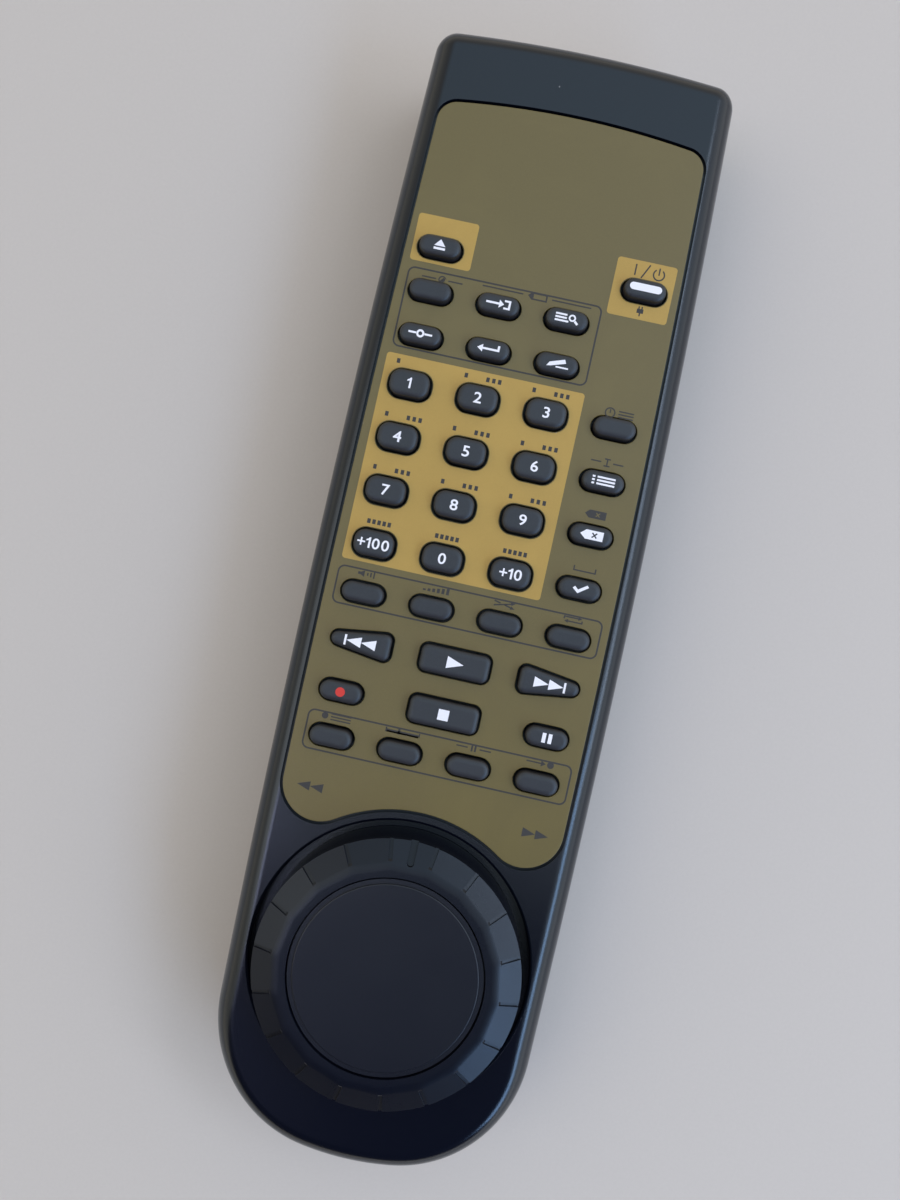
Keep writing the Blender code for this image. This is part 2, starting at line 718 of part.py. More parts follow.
def make_top_case(materials):
    shell = lofted("top_case", shoulder_rings(), materials["case_plastic"])
    cut(shell, upper_cavity())
    bosses = [(circle(place, boss_radius, SMALL_ROUND_STEPS), POST_HEIGHT + FIT_GAP,
               ceiling_z + TOP_WALL / 2) for place in screw_places.values()]
    join(shell, cutter_of_prisms("screw_bosses", bosses))
    pocket = (fascia_outline(FASCIA_GROOVE), pocket_z, fascia_top_z + CUT_OVERRUN)
    recess = (circle((0.0, dial_y), RECESS_RADIUS, ROUND_STEPS), pan_top_z, fascia_top_z + CUT_OVERRUN)
    cut(shell, cutter_of_prisms("top_pockets", [pocket, recess]))
    holes = [(hole_box(kind, place, KEY_HOLE_RELIEF), ceiling_z - CUT_OVERRUN, pocket_z + CUT_OVERRUN)
             for name, kind, place in key_places()]
    holes.append((circle((0.0, dial_y), SWITCH_HOLE_RADIUS, ROUND_STEPS // 2),
                  pan_base_z - CUT_OVERRUN, pan_top_z + CUT_OVERRUN))
    bore_top_z = SCREW_HEAD_SINK + SCREW_HEAD_HEIGHT + SCREW_LENGTH + FIT_GAP
    holes += [(circle(place, SCREW_RADIUS + FIT_GAP, SCREW_STEPS), POST_HEIGHT - CUT_OVERRUN, bore_top_z)
              for place in screw_places.values()]
    slot_half_width = WINDOW_WIDTH / 2 + FIT_GAP
    slot_half_height = WINDOW_HEIGHT / 2 + FIT_GAP
    holes.append((rectangle(-slot_half_width, slot_half_width, window_flange_y, head_y + CUT_OVERRUN),
                  led_axis_z - slot_half_height, led_axis_z + slot_half_height))
    cut(shell, cutter_of_prisms("top_holes", holes))


def lower_cavity():
    rings = [at_height(case_outline(LOWER_DRAFT + HEEL_REACH), BOTTOM_WALL),
             at_height(case_outline(LOWER_DRAFT + SIDE_WALL), HEEL_RISE),
             at_height(case_outline(SIDE_WALL), lower_top_z),
             at_height(case_outline(SIDE_WALL), lip_top_z + CUT_OVERRUN)]
    cavity = as_cutter(lofted("lower_cavity", rings, None))
    half_width = tongue_half_width + FIT_GAP + RAIL_PAD_REACH
    pad = (rectangle(-half_width, half_width, tail_y - CUT_OVERRUN, door_head_y + FIT_GAP + RAIL_PAD_REACH),
           BOTTOM_WALL - CUT_OVERRUN, RAIL_PAD_HEIGHT)
    return cut(cavity, cutter_of_prisms("rail_pad_form", [pad]))


# The door's T-shaped section, seen along the handset, grown all round
def door_section(growth, floor_z):
    narrow = door_half_width + growth
    broad = tongue_half_width + growth
    step_z = tongue_base_z - growth
    top_z = DOOR_THICKNESS + growth
    return [(-narrow, floor_z), (narrow, floor_z), (narrow, step_z), (broad, step_z),
            (broad, top_z), (-broad, top_z), (-broad, step_z), (-narrow, step_z)]


def along_y(section, y):
    return [(x, y, z) for x, z in section]


def make_bottom_case(materials):
    lip = case_outline(lip_inset)
    rings = heel_rings() + [at_height(lip, lower_top_z), at_height(lip, lip_top_z)]
    shell = lofted("bottom_case", rings, materials["case_plastic"])
    cut(shell, lower_cavity())
    wall_x = compartment_half_width + COMPARTMENT_WALL
    box = (rectangle(-wall_x, wall_x, compartment_tail_y - COMPARTMENT_WALL,
                     compartment_head_y + COMPARTMENT_WALL), RAIL_PAD_HEIGHT / 2, roof_top_z)
    posts = [(circle(place, post_radius, SMALL_ROUND_STEPS), BOTTOM_WALL / 2, POST_HEIGHT)
             for place in screw_places.values()]
    join(shell, cutter_of_prisms("inner_walls", [box] + posts))
    room = (rectangle(-compartment_half_width, compartment_half_width,
                      compartment_tail_y, compartment_head_y), DOOR_THICKNESS / 2, roof_base_z)
    heads = [(circle(place, SCREW_HEAD_RADIUS + FIT_GAP, SMALL_ROUND_STEPS), -CUT_OVERRUN, SCREW_SEAT)
             for place in screw_places.values()]
    cut(shell, cutter_of_prisms("room_and_head_holes", [room] + heads))
    bores = [(circle(place, SCREW_RADIUS + FIT_GAP, SCREW_STEPS), SCREW_SEAT - CUT_OVERRUN / 2,
              POST_HEIGHT + CUT_OVERRUN) for place in screw_places.values()]
    cut(shell, cutter_of_prisms("screw_bores", bores))
    section = door_section(FIT_GAP, -CUT_OVERRUN)
    channel = lofted("door_channel", [along_y(section, tail_y - CUT_OVERRUN),
                                      along_y(section, door_head_y + FIT_GAP)], None)
    cut(shell, as_cutter(channel))


def make_battery_door(materials):
    section = door_section(0.0, -CUT_OVERRUN)
    door = lofted("battery_door", [along_y(section, tail_y - CUT_OVERRUN), along_y(section, door_head_y)],
                  materials["case_plastic"])
    form = as_cutter(lofted("case_lower_form", heel_rings(), None))
    combine(door, form, "INTERSECT")
    grip_y = tail_y + GRIP_TAIL_MARGIN
    half_length = GRIP_GROOVE_LENGTH / 2
    grips = []
    for index in range(GRIP_GROOVE_COUNT):
        groove_y = grip_y + index * GRIP_GROOVE_PITCH
        grips.append((rectangle(-half_length, half_length, groove_y, groove_y + GRIP_GROOVE_WIDTH),
                      -CUT_OVERRUN, GRIP_GROOVE_DEPTH))
    arrow_y = grip_y + GRIP_GROOVE_COUNT * GRIP_GROOVE_PITCH + GRIP_GROOVE_PITCH
    arrow = [(0.0, arrow_y), (ARROW_WIDTH / 2, arrow_y + ARROW_LENGTH),
             (-ARROW_WIDTH / 2, arrow_y + ARROW_LENGTH)]
    grips.append((arrow, -CUT_OVERRUN, GRIP_GROOVE_DEPTH))
    cut(door, cutter_of_prisms("door_grips", grips))


# Infrared end

def make_window(materials):
    def section(half_width):
        return [(-half_width, led_axis_z - WINDOW_HEIGHT / 2), (half_width, led_axis_z - WINDOW_HEIGHT / 2),
                (half_width, led_axis_z + WINDOW_HEIGHT / 2), (-half_width, led_axis_z + WINDOW_HEIGHT / 2)]
    flange = section(WINDOW_WIDTH / 2 + WINDOW_FLANGE_REACH)
    plate = section(WINDOW_WIDTH / 2)
    rings = [along_y(flange, window_back_y), along_y(flange, window_flange_y),
             along_y(plate, window_flange_y), along_y(plate, head_y - WINDOW_SINK)]
    lofted("ir_window", rings, materials["window_plastic"])


def make_led(materials):
    straight = LED_LENGTH - LED_RADIUS
    stations = [(LED_FLANGE_RADIUS, 0.0), (LED_FLANGE_RADIUS, LED_FLANGE_THICKNESS),
                (LED_RADIUS, LED_FLANGE_THICKNESS), (LED_RADIUS, straight)]
    for turn in (radians(30), radians(60), radians(80)):
        stations.append((LED_RADIUS * cos(turn), straight + LED_RADIUS * sin(turn)))
    back_y = window_back_y - FIT_GAP - LED_LENGTH
    led = lofted("ir_led", turned_rings(stations, SMALL_ROUND_STEPS), materials["led_resin"],
                 lying(1, Vector((0.0, back_y, led_axis_z))))
    size = LED_LEG_SIZE
    inner_y = back_y + LED_FLANGE_THICKNESS / 2
    outer_y = back_y - LED_LEG_REACH
    leg_top_z = board_base_z - FIT_GAP
    low_z = led_axis_z - size / 2
    leg = [(inner_y, low_z), (inner_y, low_z + size), (outer_y + size, low_z + size),
           (outer_y + size, leg_top_z), (outer_y, leg_top_z), (outer_y, low_z)]
    shape = bmesh.new()
    for side in (-1, 1):
        x = side * LED_LEG_SPACING / 2
        loft_into(shape, [[(x - size / 2, y, z) for y, z in leg], [(x + size / 2, y, z) for y, z in leg]])
    join(led, as_cutter(finish("led_legs", shape, None, smooth=False)))


# Electronics

def make_board(materials):
    outline = case_outline(BOARD_INSET)
    board = lofted("circuit_board", [at_height(outline, board_base_z), at_height(outline, board_top_z)],
                   materials["board_laminate"])
    holes = [(circle(place, boss_radius + FIT_GAP, SMALL_ROUND_STEPS), board_base_z - CUT_OVERRUN,
              board_top_z + CUT_OVERRUN) for place in screw_places.values()]
    cut(board, cutter_of_prisms("board_holes", holes))


def make_chip(materials):
    top_z = board_base_z - FIT_GAP
    rings = box_rings(-CHIP_WIDTH / 2, CHIP_WIDTH / 2, CHIP_PLACE - CHIP_LENGTH / 2,
                      CHIP_PLACE + CHIP_LENGTH / 2, top_z - CHIP_THICKNESS, top_z)
    lofted("controller_chip", rings, materials["chip_resin"])


# Power

def make_cell(name, x, y_sign, materials):
    radius = CELL_DIAMETER / 2
    stations = [(radius - CELL_SHOULDER, 0.0), (radius, CELL_SHOULDER),
                (radius, CELL_LENGTH - CELL_SHOULDER), (radius - CELL_SHOULDER, CELL_LENGTH),
                (CELL_BUTTON_RADIUS, CELL_LENGTH), (CELL_BUTTON_RADIUS, CELL_LENGTH + CELL_BUTTON_HEIGHT)]
    if y_sign > 0:
        base_y = compartment_tail_y + CONTACT_SPRING_LENGTH + 2 * FIT_GAP
    else:
        base_y = compartment_head_y - CONTACT_SPRING_LENGTH - 2 * FIT_GAP
    lofted(name, turned_rings(stations, SMALL_ROUND_STEPS), materials["cell_wrap"],
           lying(y_sign, Vector((x, base_y, cell_centre_z))))


def make_contact_spring(name, x, y_sign, materials):
    wire_radius = CONTACT_SPRING_WIRE / 2
    coil_length = CONTACT_SPRING_LENGTH - CONTACT_SPRING_WIRE
    wall_y = compartment_tail_y if y_sign > 0 else compartment_head_y
    start = Vector((x, wall_y + y_sign * (FIT_GAP + wire_radius), cell_centre_z))
    matrix = lying(y_sign, start)
    points = [matrix @ point for point in helix(CONTACT_SPRING_TURNS, CONTACT_SPRING_RADIUS,
                                                CONTACT_SPRING_TIP_RADIUS, coil_length)]
    wire(name, points, CONTACT_SPRING_WIRE, materials["spring_steel"])


def make_contact_plate(name, x, y_sign, materials):
    wall_y = compartment_tail_y if y_sign > 0 else compartment_head_y
    near_y = wall_y + y_sign * FIT_GAP
    far_y = near_y + y_sign * CONTACT_PLATE_THICKNESS
    half_width = CONTACT_PLATE_WIDTH / 2
    rings = box_rings(x - half_width, x + half_width, min(near_y, far_y), max(near_y, far_y),
                      cell_centre_z - CONTACT_PLATE_HEIGHT / 2, cell_centre_z + CONTACT_PLATE_HEIGHT / 2)
    lofted(name, rings, materials["spring_steel"])


def make_power(materials):
    make_cell("battery_cell_left", -cell_x, 1, materials)
    make_cell("battery_cell_right", cell_x, -1, materials)
    make_contact_spring("contact_spring_left", -cell_x, 1, materials)
    make_contact_spring("contact_spring_right", cell_x, -1, materials)
    make_contact_plate("contact_plate_left", -cell_x, -1, materials)
    make_contact_plate("contact_plate_right", cell_x, 1, materials)


# Screws

def make_screws(materials):
    head_top_z = SCREW_HEAD_SINK + SCREW_HEAD_HEIGHT
    stations = [(SCREW_HEAD_RADIUS, SCREW_HEAD_SINK), (SCREW_HEAD_RADIUS, head_top_z),
                (SCREW_RADIUS, head_top_z), (SCREW_RADIUS, head_top_z + SCREW_LENGTH)]
    reach = SCREW_HEAD_RADIUS + CUT_OVERRUN
    for side, place in screw_places.items():
        screw = lofted("case_screw_" + side, turned_rings(stations, SCREW_STEPS), materials["screw_steel"],
                       Matrix.Translation((*place, 0.0)))
        slot = rectangle(place[0] - reach, place[0] + reach,
                         place[1] - SCREW_SLOT_WIDTH / 2, place[1] + SCREW_SLOT_WIDTH / 2)
        cut(screw, cutter_of_prisms("screw_slot_" + side,
                                    [(slot, -CUT_OVERRUN, SCREW_HEAD_SINK + SCREW_SLOT_DEPTH)]))


# Shuttle dial

# Height of a facet of the sloping band at a radius, off by an angle from the facet's middle
def band_height(radius, offset):
    slope = DIAL_BAND_DROP / (dial_radius - crest_radius)
    return dial_top_z - (radius * cos(offset) - crest_radius) * slope


# Section of the dial, once round from the hub's foot; a notch sinks the outer stations of the band
def dial_section(offset, sink):
    notch_start = crest_radius + NOTCH_START_GAP
    notch_full = notch_start + NOTCH_RAMP
    return [(bore_radius, hub_base_z), (hub_radius, hub_base_z), (hub_radius, dial_plate_z),
            (dial_radius - DIAL_WALL, dial_plate_z), (dial_radius - DIAL_WALL + DIAL_DRAFT, dial_base_z),
            (dial_radius + DIAL_DRAFT, dial_base_z), (dial_radius, band_height(dial_radius, offset) - sink),
            (notch_full, band_height(notch_full, offset) - sink),
            (notch_start, band_height(notch_start, offset)),
            (crest_radius / cos(offset), dial_top_z), (groove_radius, dial_top_z),
            (groove_radius, cap_seat_z), (bore_radius, cap_seat_z)]


def make_shuttle_ring(materials):
    pitch = 2 * pi / NOTCH_COUNT
    half_notch = NOTCH_WIDTH / (2 * dial_radius)
    columns = []
    for facet in range(NOTCH_COUNT):
        middle = pi / 2 + facet * pitch
        for offset, sink in ((-pitch / 2, NOTCH_DEPTH), (-pitch / 2 + half_notch, 0.0), (0.0, 0.0),
                             (pitch / 2 - half_notch, 0.0)):
            angle = middle + offset
            columns.append([(radius * cos(angle), radius * sin(angle), z)
                            for radius, z in dial_section(offset, sink)])
    shape = bmesh.new()
    loft_into(shape, columns, looped=True)
    ring = finish("shuttle_ring", shape, materials["dial_plastic"])
    ring.location = (0.0, dial_y, 0.0)
    start = crest_radius + POINTER_START_GAP + POINTER_WIDTH / 2
    outline = arc((0.0, start), POINTER_WIDTH / 2, pi, 2 * pi, 6)
    outline += [(POINTER_WIDTH / 2, dial_radius + CUT_OVERRUN),
                (-POINTER_WIDTH / 2, dial_radius + CUT_OVERRUN)]
    floor = [(x, dial_y + y, band_height(y, 0.0) - POINTER_DEPTH) for x, y in outline]
    top = [(x, dial_y + y, dial_top_z + CUT_OVERRUN) for x, y in outline]
    cut(ring, as_cutter(lofted("pointer_slot", [floor, top], None)))


def make_shuttle_cap(materials):
    rim = groove_radius - FIT_GAP
    radius = groove_radius - CAP_GROOVE_WIDTH
    groove_z = dial_top_z - CAP_GROOVE_DEPTH
    stations = [(rim, cap_seat_z + FIT_GAP), (rim, groove_z), (radius, groove_z),
                (radius - CAP_EDGE, dial_top_z)]
    cap = lofted("shuttle_cap", turned_rings(stations, ROUND_STEPS), materials["dial_plastic"])
    cap.location = (0.0, dial_y, 0.0)


def make_shuttle_switch(materials):
    base_z = board_top_z + FIT_GAP
    stations = [(SWITCH_RADIUS, base_z), (SWITCH_RADIUS, base_z + SWITCH_HEIGHT),
                (SHAFT_RADIUS, base_z + SWITCH_HEIGHT), (SHAFT_RADIUS, cap_seat_z - FIT_GAP)]
    lofted("shuttle_switch", turned_rings(stations, SMALL_ROUND_STEPS), materials["switch_plastic"],
           Matrix.Translation((0.0, dial_y, 0.0)))


def make_return_spring(materials):
    base = Vector((0.0, dial_y, pan_top_z + FIT_GAP + RETURN_SPRING_WIRE / 2))
    turns = helix(RETURN_SPRING_TURNS, RETURN_SPRING_RADIUS, RETURN_SPRING_RADIUS,
                  RETURN_SPRING_TURNS * RETURN_SPRING_PITCH)
    points = [base + point for point in turns]
    wire("return_spring", points, RETURN_SPRING_WIRE, materials["spring_steel"])


def build():
    clear_scene()
    materials = make_materials()
    make_bottom_case(materials)
    make_battery_door(materials)
    make_power(materials)
    make_board(materials)
    make_chip(materials)
    make_window(materials)
    make_led(materials)
    make_key_mat(materials)
    make_keys(materials)
    make_top_case(materials)
    make_fascia(materials)
    make_shuttle_switch(materials)
    make_return_spring(materials)
    make_shuttle_ring(materials)
    make_shuttle_cap(materials)
    make_screws(materials)


build()
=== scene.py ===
from math import acos, atan2, cos, hypot, pi, radians, sin, sqrt, tan

import bmesh
import bpy
from mathutils import Euler, Matrix, Quaternion, Vector


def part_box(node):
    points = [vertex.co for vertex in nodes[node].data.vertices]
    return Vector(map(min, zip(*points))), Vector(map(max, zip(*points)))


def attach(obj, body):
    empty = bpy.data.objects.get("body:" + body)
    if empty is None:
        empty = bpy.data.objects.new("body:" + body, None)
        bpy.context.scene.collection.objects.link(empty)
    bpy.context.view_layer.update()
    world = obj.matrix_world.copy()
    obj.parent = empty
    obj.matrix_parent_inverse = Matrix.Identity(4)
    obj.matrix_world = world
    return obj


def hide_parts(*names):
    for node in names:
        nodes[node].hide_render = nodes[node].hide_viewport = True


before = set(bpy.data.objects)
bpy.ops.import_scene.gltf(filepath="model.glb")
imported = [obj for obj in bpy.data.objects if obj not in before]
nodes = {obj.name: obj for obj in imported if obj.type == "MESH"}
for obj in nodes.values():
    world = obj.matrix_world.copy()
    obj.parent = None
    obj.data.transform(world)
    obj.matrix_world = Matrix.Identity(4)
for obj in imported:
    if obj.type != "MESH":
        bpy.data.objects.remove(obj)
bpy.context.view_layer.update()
print("frame loaded:", len(nodes), "nodes")


# Tools run past what they cut, corners closer than a gap are one, and a level is met within a gap
overrun = 0.002
mergeGap = 0.000002
levelGap = 0.00001


# Working in object and edit mode

def choose(piece):
    if bpy.context.object and bpy.context.object.mode != "OBJECT":
        bpy.ops.object.mode_set(mode="OBJECT")
    bpy.ops.object.select_all(action="DESELECT")
    piece.select_set(True)
    bpy.context.view_layer.objects.active = piece


def openMesh(piece, kind="FACE"):
    choose(piece)
    bpy.ops.object.mode_set(mode="EDIT")
    bpy.ops.mesh.select_mode(type=kind)
    bpy.ops.mesh.select_all(action="DESELECT")


def closeMesh():
    bpy.ops.object.mode_set(mode="OBJECT")


# Adds to the selection what passes the test: "verts", "edges" or "faces"
def pick(piece, kind, test):
    shape = bmesh.from_edit_mesh(piece.data)
    shape.normal_update()
    found = 0
    for item in getattr(shape, kind):
        if test(item):
            item.select_set(True)
            found += 1
    bmesh.update_edit_mesh(piece.data)
    return found


def applyAs(piece, kind, **values):
    choose(piece)
    change = piece.modifiers.new(kind.lower(), kind)
    for name, value in values.items():
        setattr(change, name, value)
    bpy.ops.object.modifier_apply(modifier=change.name)


def carve(piece, tool, operation="DIFFERENCE"):
    applyAs(piece, "BOOLEAN", operation=operation, solver="EXACT", object=tool)
    bpy.data.objects.remove(tool, do_unlink=True)


def joinAll(pieces, name):
    choose(pieces[0])
    for piece in pieces[1:]:
        piece.select_set(True)
    if len(pieces) > 1:
        bpy.ops.object.join()
    joined = bpy.context.object
    joined.name = name
    joined.data.name = name
    return joined


# A copy with its own mesh, its place put into the mesh
def copyTo(piece, name, offset, turn=0.0):
    choose(piece)
    bpy.ops.object.duplicate()
    made = bpy.context.object
    made.name = name
    made.data.name = name
    made.data.transform(Matrix.Translation(Vector(offset)) @ Matrix.Rotation(turn, 4, "Z"))
    return made


# Drawing outlines on a level with arcs and straight lines

def startPoint(name, x, y, z):
    bpy.ops.mesh.primitive_plane_add(size=0.001, location=(x, y, z))
    piece = bpy.context.object
    piece.name = name
    piece.data.name = name
    bpy.ops.object.transform_apply(location=True, rotation=True, scale=True)
    openMesh(piece, "VERT")
    bpy.ops.mesh.select_all(action="SELECT")
    bpy.ops.mesh.merge(type="CENTER")
    return piece


# Counterclockwise where the angle is positive: spin itself turns the other way
def arcOn(centre, angle, steps):
    bpy.ops.mesh.spin(steps=steps, angle=-angle, center=(centre[0], centre[1], 0.0), axis=(0, 0, 1))


def lineOn(start, end):
    step = (end[0] - start[0], end[1] - start[1], 0.0)
    if hypot(step[0], step[1]) > mergeGap:
        bpy.ops.mesh.extrude_region_move(TRANSFORM_OT_translate={"value": step})


def fillOutline(piece):
    bpy.ops.mesh.select_all(action="SELECT")
    bpy.ops.mesh.remove_doubles(threshold=mergeGap)
    bpy.ops.mesh.select_mode(type="EDGE")
    bpy.ops.mesh.select_all(action="SELECT")
    bpy.ops.mesh.edge_face_add()
    bpy.ops.mesh.select_mode(type="FACE")
    bpy.ops.mesh.select_all(action="SELECT")
    shape = bmesh.from_edit_mesh(piece.data)
    shape.normal_update()
    shape.faces.ensure_lookup_table()
    if shape.faces[0].normal.z < 0:
        bpy.ops.mesh.flip_normals()


def mirrorHalf():
    bpy.ops.mesh.select_all(action="SELECT")
    bpy.ops.mesh.duplicate()
    bpy.ops.transform.resize(value=(-1, 1, 1), center_override=(0, 0, 0))


def raiseFace(height):
    bpy.ops.mesh.extrude_region_move(TRANSFORM_OT_translate={"value": (0, 0, height)})


def drawIn(reach, rise):
    bpy.ops.mesh.inset(thickness=reach, depth=rise, use_even_offset=True)


def heading(start, end):
    return atan2(end[1] - start[1], end[0] - start[0])


def turnBetween(start, end):
    angle = end - start
    while angle <= -pi:
        angle += 2 * pi
    while angle > pi:
        angle -= 2 * pi
    return angle


# Where two circles cross: the crossing nearer the head, or the one nearer the tail
def crossing(first, firstRadius, second, secondRadius, atHead):
    span = hypot(second[0] - first[0], second[1] - first[1])
    along = (span * span + firstRadius ** 2 - secondRadius ** 2) / (2 * span)
    across = sqrt(firstRadius ** 2 - along ** 2)
    angle = heading(first, second)
    found = [(first[0] + along * cos(angle) - side * across * sin(angle),
              first[1] + along * sin(angle) + side * across * cos(angle)) for side in (1, -1)]
    found.sort(key=lambda point: point[1])
    return found[1] if atHead else found[0]


def outwardNormal(disc, following):
    span = hypot(following[0] - disc[0], following[1] - disc[1])
    return heading(disc, following) - acos((disc[2] - following[2]) / span)


# A belt round discs given counterclockwise as (x, y, radius), all grown alike, filled as one face
def drawBelt(name, discs, growth, place, z, steps=10):
    turns = []
    for index, disc in enumerate(discs):
        start = outwardNormal(discs[index - 1], disc)
        end = outwardNormal(disc, discs[(index + 1) % len(discs)])
        while end < start:
            end += 2 * pi
        turns.append((start, end))
    piece = None
    last = None
    for (x, y, radius), (start, end) in zip(discs, turns):
        centre = (place[0] + x, place[1] + y)
        reach = radius + growth
        first = (centre[0] + reach * cos(start), centre[1] + reach * sin(start))
        if piece is None:
            piece = startPoint(name, first[0], first[1], z)
        else:
            lineOn(last, first)
        if reach > 0.00002:
            arcOn(centre, end - start, steps)
        last = (centre[0] + reach * cos(end), centre[1] + reach * sin(end))
    fillOutline(piece)
    return piece


def boxDiscs(width, height, corner):
    reach = width / 2 - corner
    rise = height / 2 - corner
    return [(reach, -rise, corner), (reach, rise, corner), (-reach, rise, corner), (-reach, -rise, corner)]


def pillDiscs(width, height):
    reach = (width - height) / 2
    return [(reach, 0.0, height / 2), (-reach, 0.0, height / 2)]


# An upright tool or body from an outline drawn on one level
def standing(name, discs, growth, place, low, high, steps=10):
    piece = drawBelt(name, discs, growth, place, low, steps)
    raiseFace(high - low)
    closeMesh()
    return piece


def drum(name, place, radius, low, high, sides=48):
    bpy.ops.mesh.primitive_cylinder_add(vertices=sides, radius=radius, depth=high - low,
                                        location=(place[0], place[1], (low + high) / 2))
    piece = bpy.context.object
    piece.name = name
    bpy.ops.object.transform_apply(location=True, rotation=True, scale=True)
    return piece


rimShape = {"flare": 0.0010, "opening": 72.0, "steps": 8, "lift": 0.00005}


# A drum that opens outward towards its top, so that the hole it cuts has a rounded rim
def flaredDrum(name, place, radius, low, high, sides):
    flare, opening, steps = rimShape["flare"], rimShape["opening"], rimShape["steps"]
    base = high - flare * sin(radians(opening)) + rimShape["lift"]
    piece = drum(name, place, radius, low, base, sides)
    openMesh(piece)
    pick(piece, "faces", lambda face: face.normal.z > 0.9)
    reach, rise = 0.0, 0.0
    for step in range(1, steps + 1):
        turn = radians(opening * step / steps)
        wider, higher = flare * (1 - cos(turn)), flare * sin(turn)
        raiseFace(higher - rise)
        size = (radius + wider) / (radius + reach)
        bpy.ops.transform.resize(value=(size, size, 1.0))
        reach, rise = wider, higher
    raiseFace(overrun)
    closeMesh()
    return piece


def block(name, low, high):
    centre = [(a + b) / 2 for a, b in zip(low, high)]
    bpy.ops.mesh.primitive_cube_add(size=1.0, location=centre)
    piece = bpy.context.object
    piece.name = name
    piece.scale = [b - a for a, b in zip(low, high)]
    bpy.ops.object.transform_apply(location=True, rotation=True, scale=True)
    return piece


# Bevels the edges that pass the test
def softenEdges(piece, test, width, segments=3):
    openMesh(piece, "EDGE")
    if pick(piece, "edges", test):
        bpy.ops.mesh.bevel(offset=width, segments=segments, affect="EDGES", clamp_overlap=True)
    closeMesh()


# A test for the edges on a level whose two faces turn by more than 60 degrees
def sharpAt(height):
    return lambda edge: (all(abs(vert.co.z - height) < levelGap for vert in edge.verts)
                         and edge.is_manifold and edge.calc_face_angle(0.0) > radians(60))


def smoothOver(piece, angle):
    choose(piece)
    bpy.ops.object.shade_smooth_by_angle(angle=radians(angle))
    applyAs(piece, "WEIGHTED_NORMAL", keep_sharp=True, weight=100)


def turnOutward(piece):
    openMesh(piece)
    bpy.ops.mesh.select_all(action="SELECT")
    bpy.ops.mesh.normals_make_consistent(inside=False)
    closeMesh()


def standIn(piece, body, slot, *replaced):
    choose(piece)
    bpy.ops.object.transform_apply(location=True, rotation=True, scale=True)
    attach(piece, body)
    if replaced:
        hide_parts(*replaced)


# Node groups that the finishes share

def addNode(tree, kind, place, settings=None, inputs=None):
    node = tree.nodes.new(kind)
    node.location = place
    for name, value in (settings or {}).items():
        setattr(node, name, value)
    for name, value in (inputs or {}).items():
        node.inputs[name].default_value = value
    return node


def startGroup(name, inputs, outputs):
    group = bpy.data.node_groups.new(name, "ShaderNodeTree")
    for label, value in inputs.items():
        socket = group.interface.new_socket(name=label, in_out="INPUT", socket_type="NodeSocketFloat")
        socket.default_value = value
    for label in outputs:
        group.interface.new_socket(name=label, in_out="OUTPUT", socket_type="NodeSocketFloat")
    source = addNode(group, "NodeGroupInput", (-900, 0))
    target = addNode(group, "NodeGroupOutput", (900, 0))
    return group, source, target


# Fine texture of a moulded or sprayed surface: a height for bump and a shade from 0 to 1
def makeMouldGrain():
    group, source, target = startGroup("mouldGrain", {"Scale": 4200.0, "Sparkle": 0.4}, ["Height", "Shade"])
    links = group.links
    place = addNode(group, "ShaderNodeTexCoord", (-900, 250))
    noise = addNode(group, "ShaderNodeTexNoise", (-500, 200), None, {"Detail": 3.0, "Roughness": 0.55})
    cells = addNode(group, "ShaderNodeTexVoronoi", (-500, -100), {"feature": "F1"})
    links.new(place.outputs["Object"], noise.inputs["Vector"])
    links.new(place.outputs["Object"], cells.inputs["Vector"])
    links.new(source.outputs["Scale"], noise.inputs["Scale"])
    links.new(source.outputs["Scale"], cells.inputs["Scale"])
    weighted = addNode(group, "ShaderNodeMath", (-150, -100), {"operation": "MULTIPLY"})
    links.new(cells.outputs["Distance"], weighted.inputs[0])
    links.new(source.outputs["Sparkle"], weighted.inputs[1])
    height = addNode(group, "ShaderNodeMath", (100, 0), {"operation": "ADD"})
    links.new(noise.outputs["Fac"], height.inputs[0])
    links.new(weighted.outputs["Value"], height.inputs[1])
    shade = addNode(group, "ShaderNodeMapRange", (350, 150), {"clamp": True},
                    {"From Min": 0.35, "From Max": 0.95})
    links.new(height.outputs["Value"], shade.inputs["Value"])
    links.new(height.outputs["Value"], target.inputs["Height"])
    links.new(shade.outputs["Result"], target.inputs["Shade"])
    return group


# Broad soft marks where hands have polished or greased a surface
def makeHandMarks():
    group, source, target = startGroup("handMarks", {"Scale": 38.0, "Threshold": 0.5}, ["Mask"])
    links = group.links
    place = addNode(group, "ShaderNodeTexCoord", (-900, 250))
    broad = addNode(group, "ShaderNodeTexNoise", (-500, 200), None,
                    {"Detail": 5.0, "Roughness": 0.6, "Distortion": 0.8})
    links.new(place.outputs["Object"], broad.inputs["Vector"])
    links.new(source.outputs["Scale"], broad.inputs["Scale"])
    high = addNode(group, "ShaderNodeMath", (-200, -100), {"operation": "ADD"})
    high.inputs[1].default_value = 0.25
    links.new(source.outputs["Threshold"], high.inputs[0])
    mask = addNode(group, "ShaderNodeMapRange", (200, 100), {"clamp": True})
    links.new(broad.outputs["Fac"], mask.inputs["Value"])
    links.new(source.outputs["Threshold"], mask.inputs["From Min"])
    links.new(high.outputs["Value"], mask.inputs["From Max"])
    links.new(mask.outputs["Result"], target.inputs["Mask"])
    return group


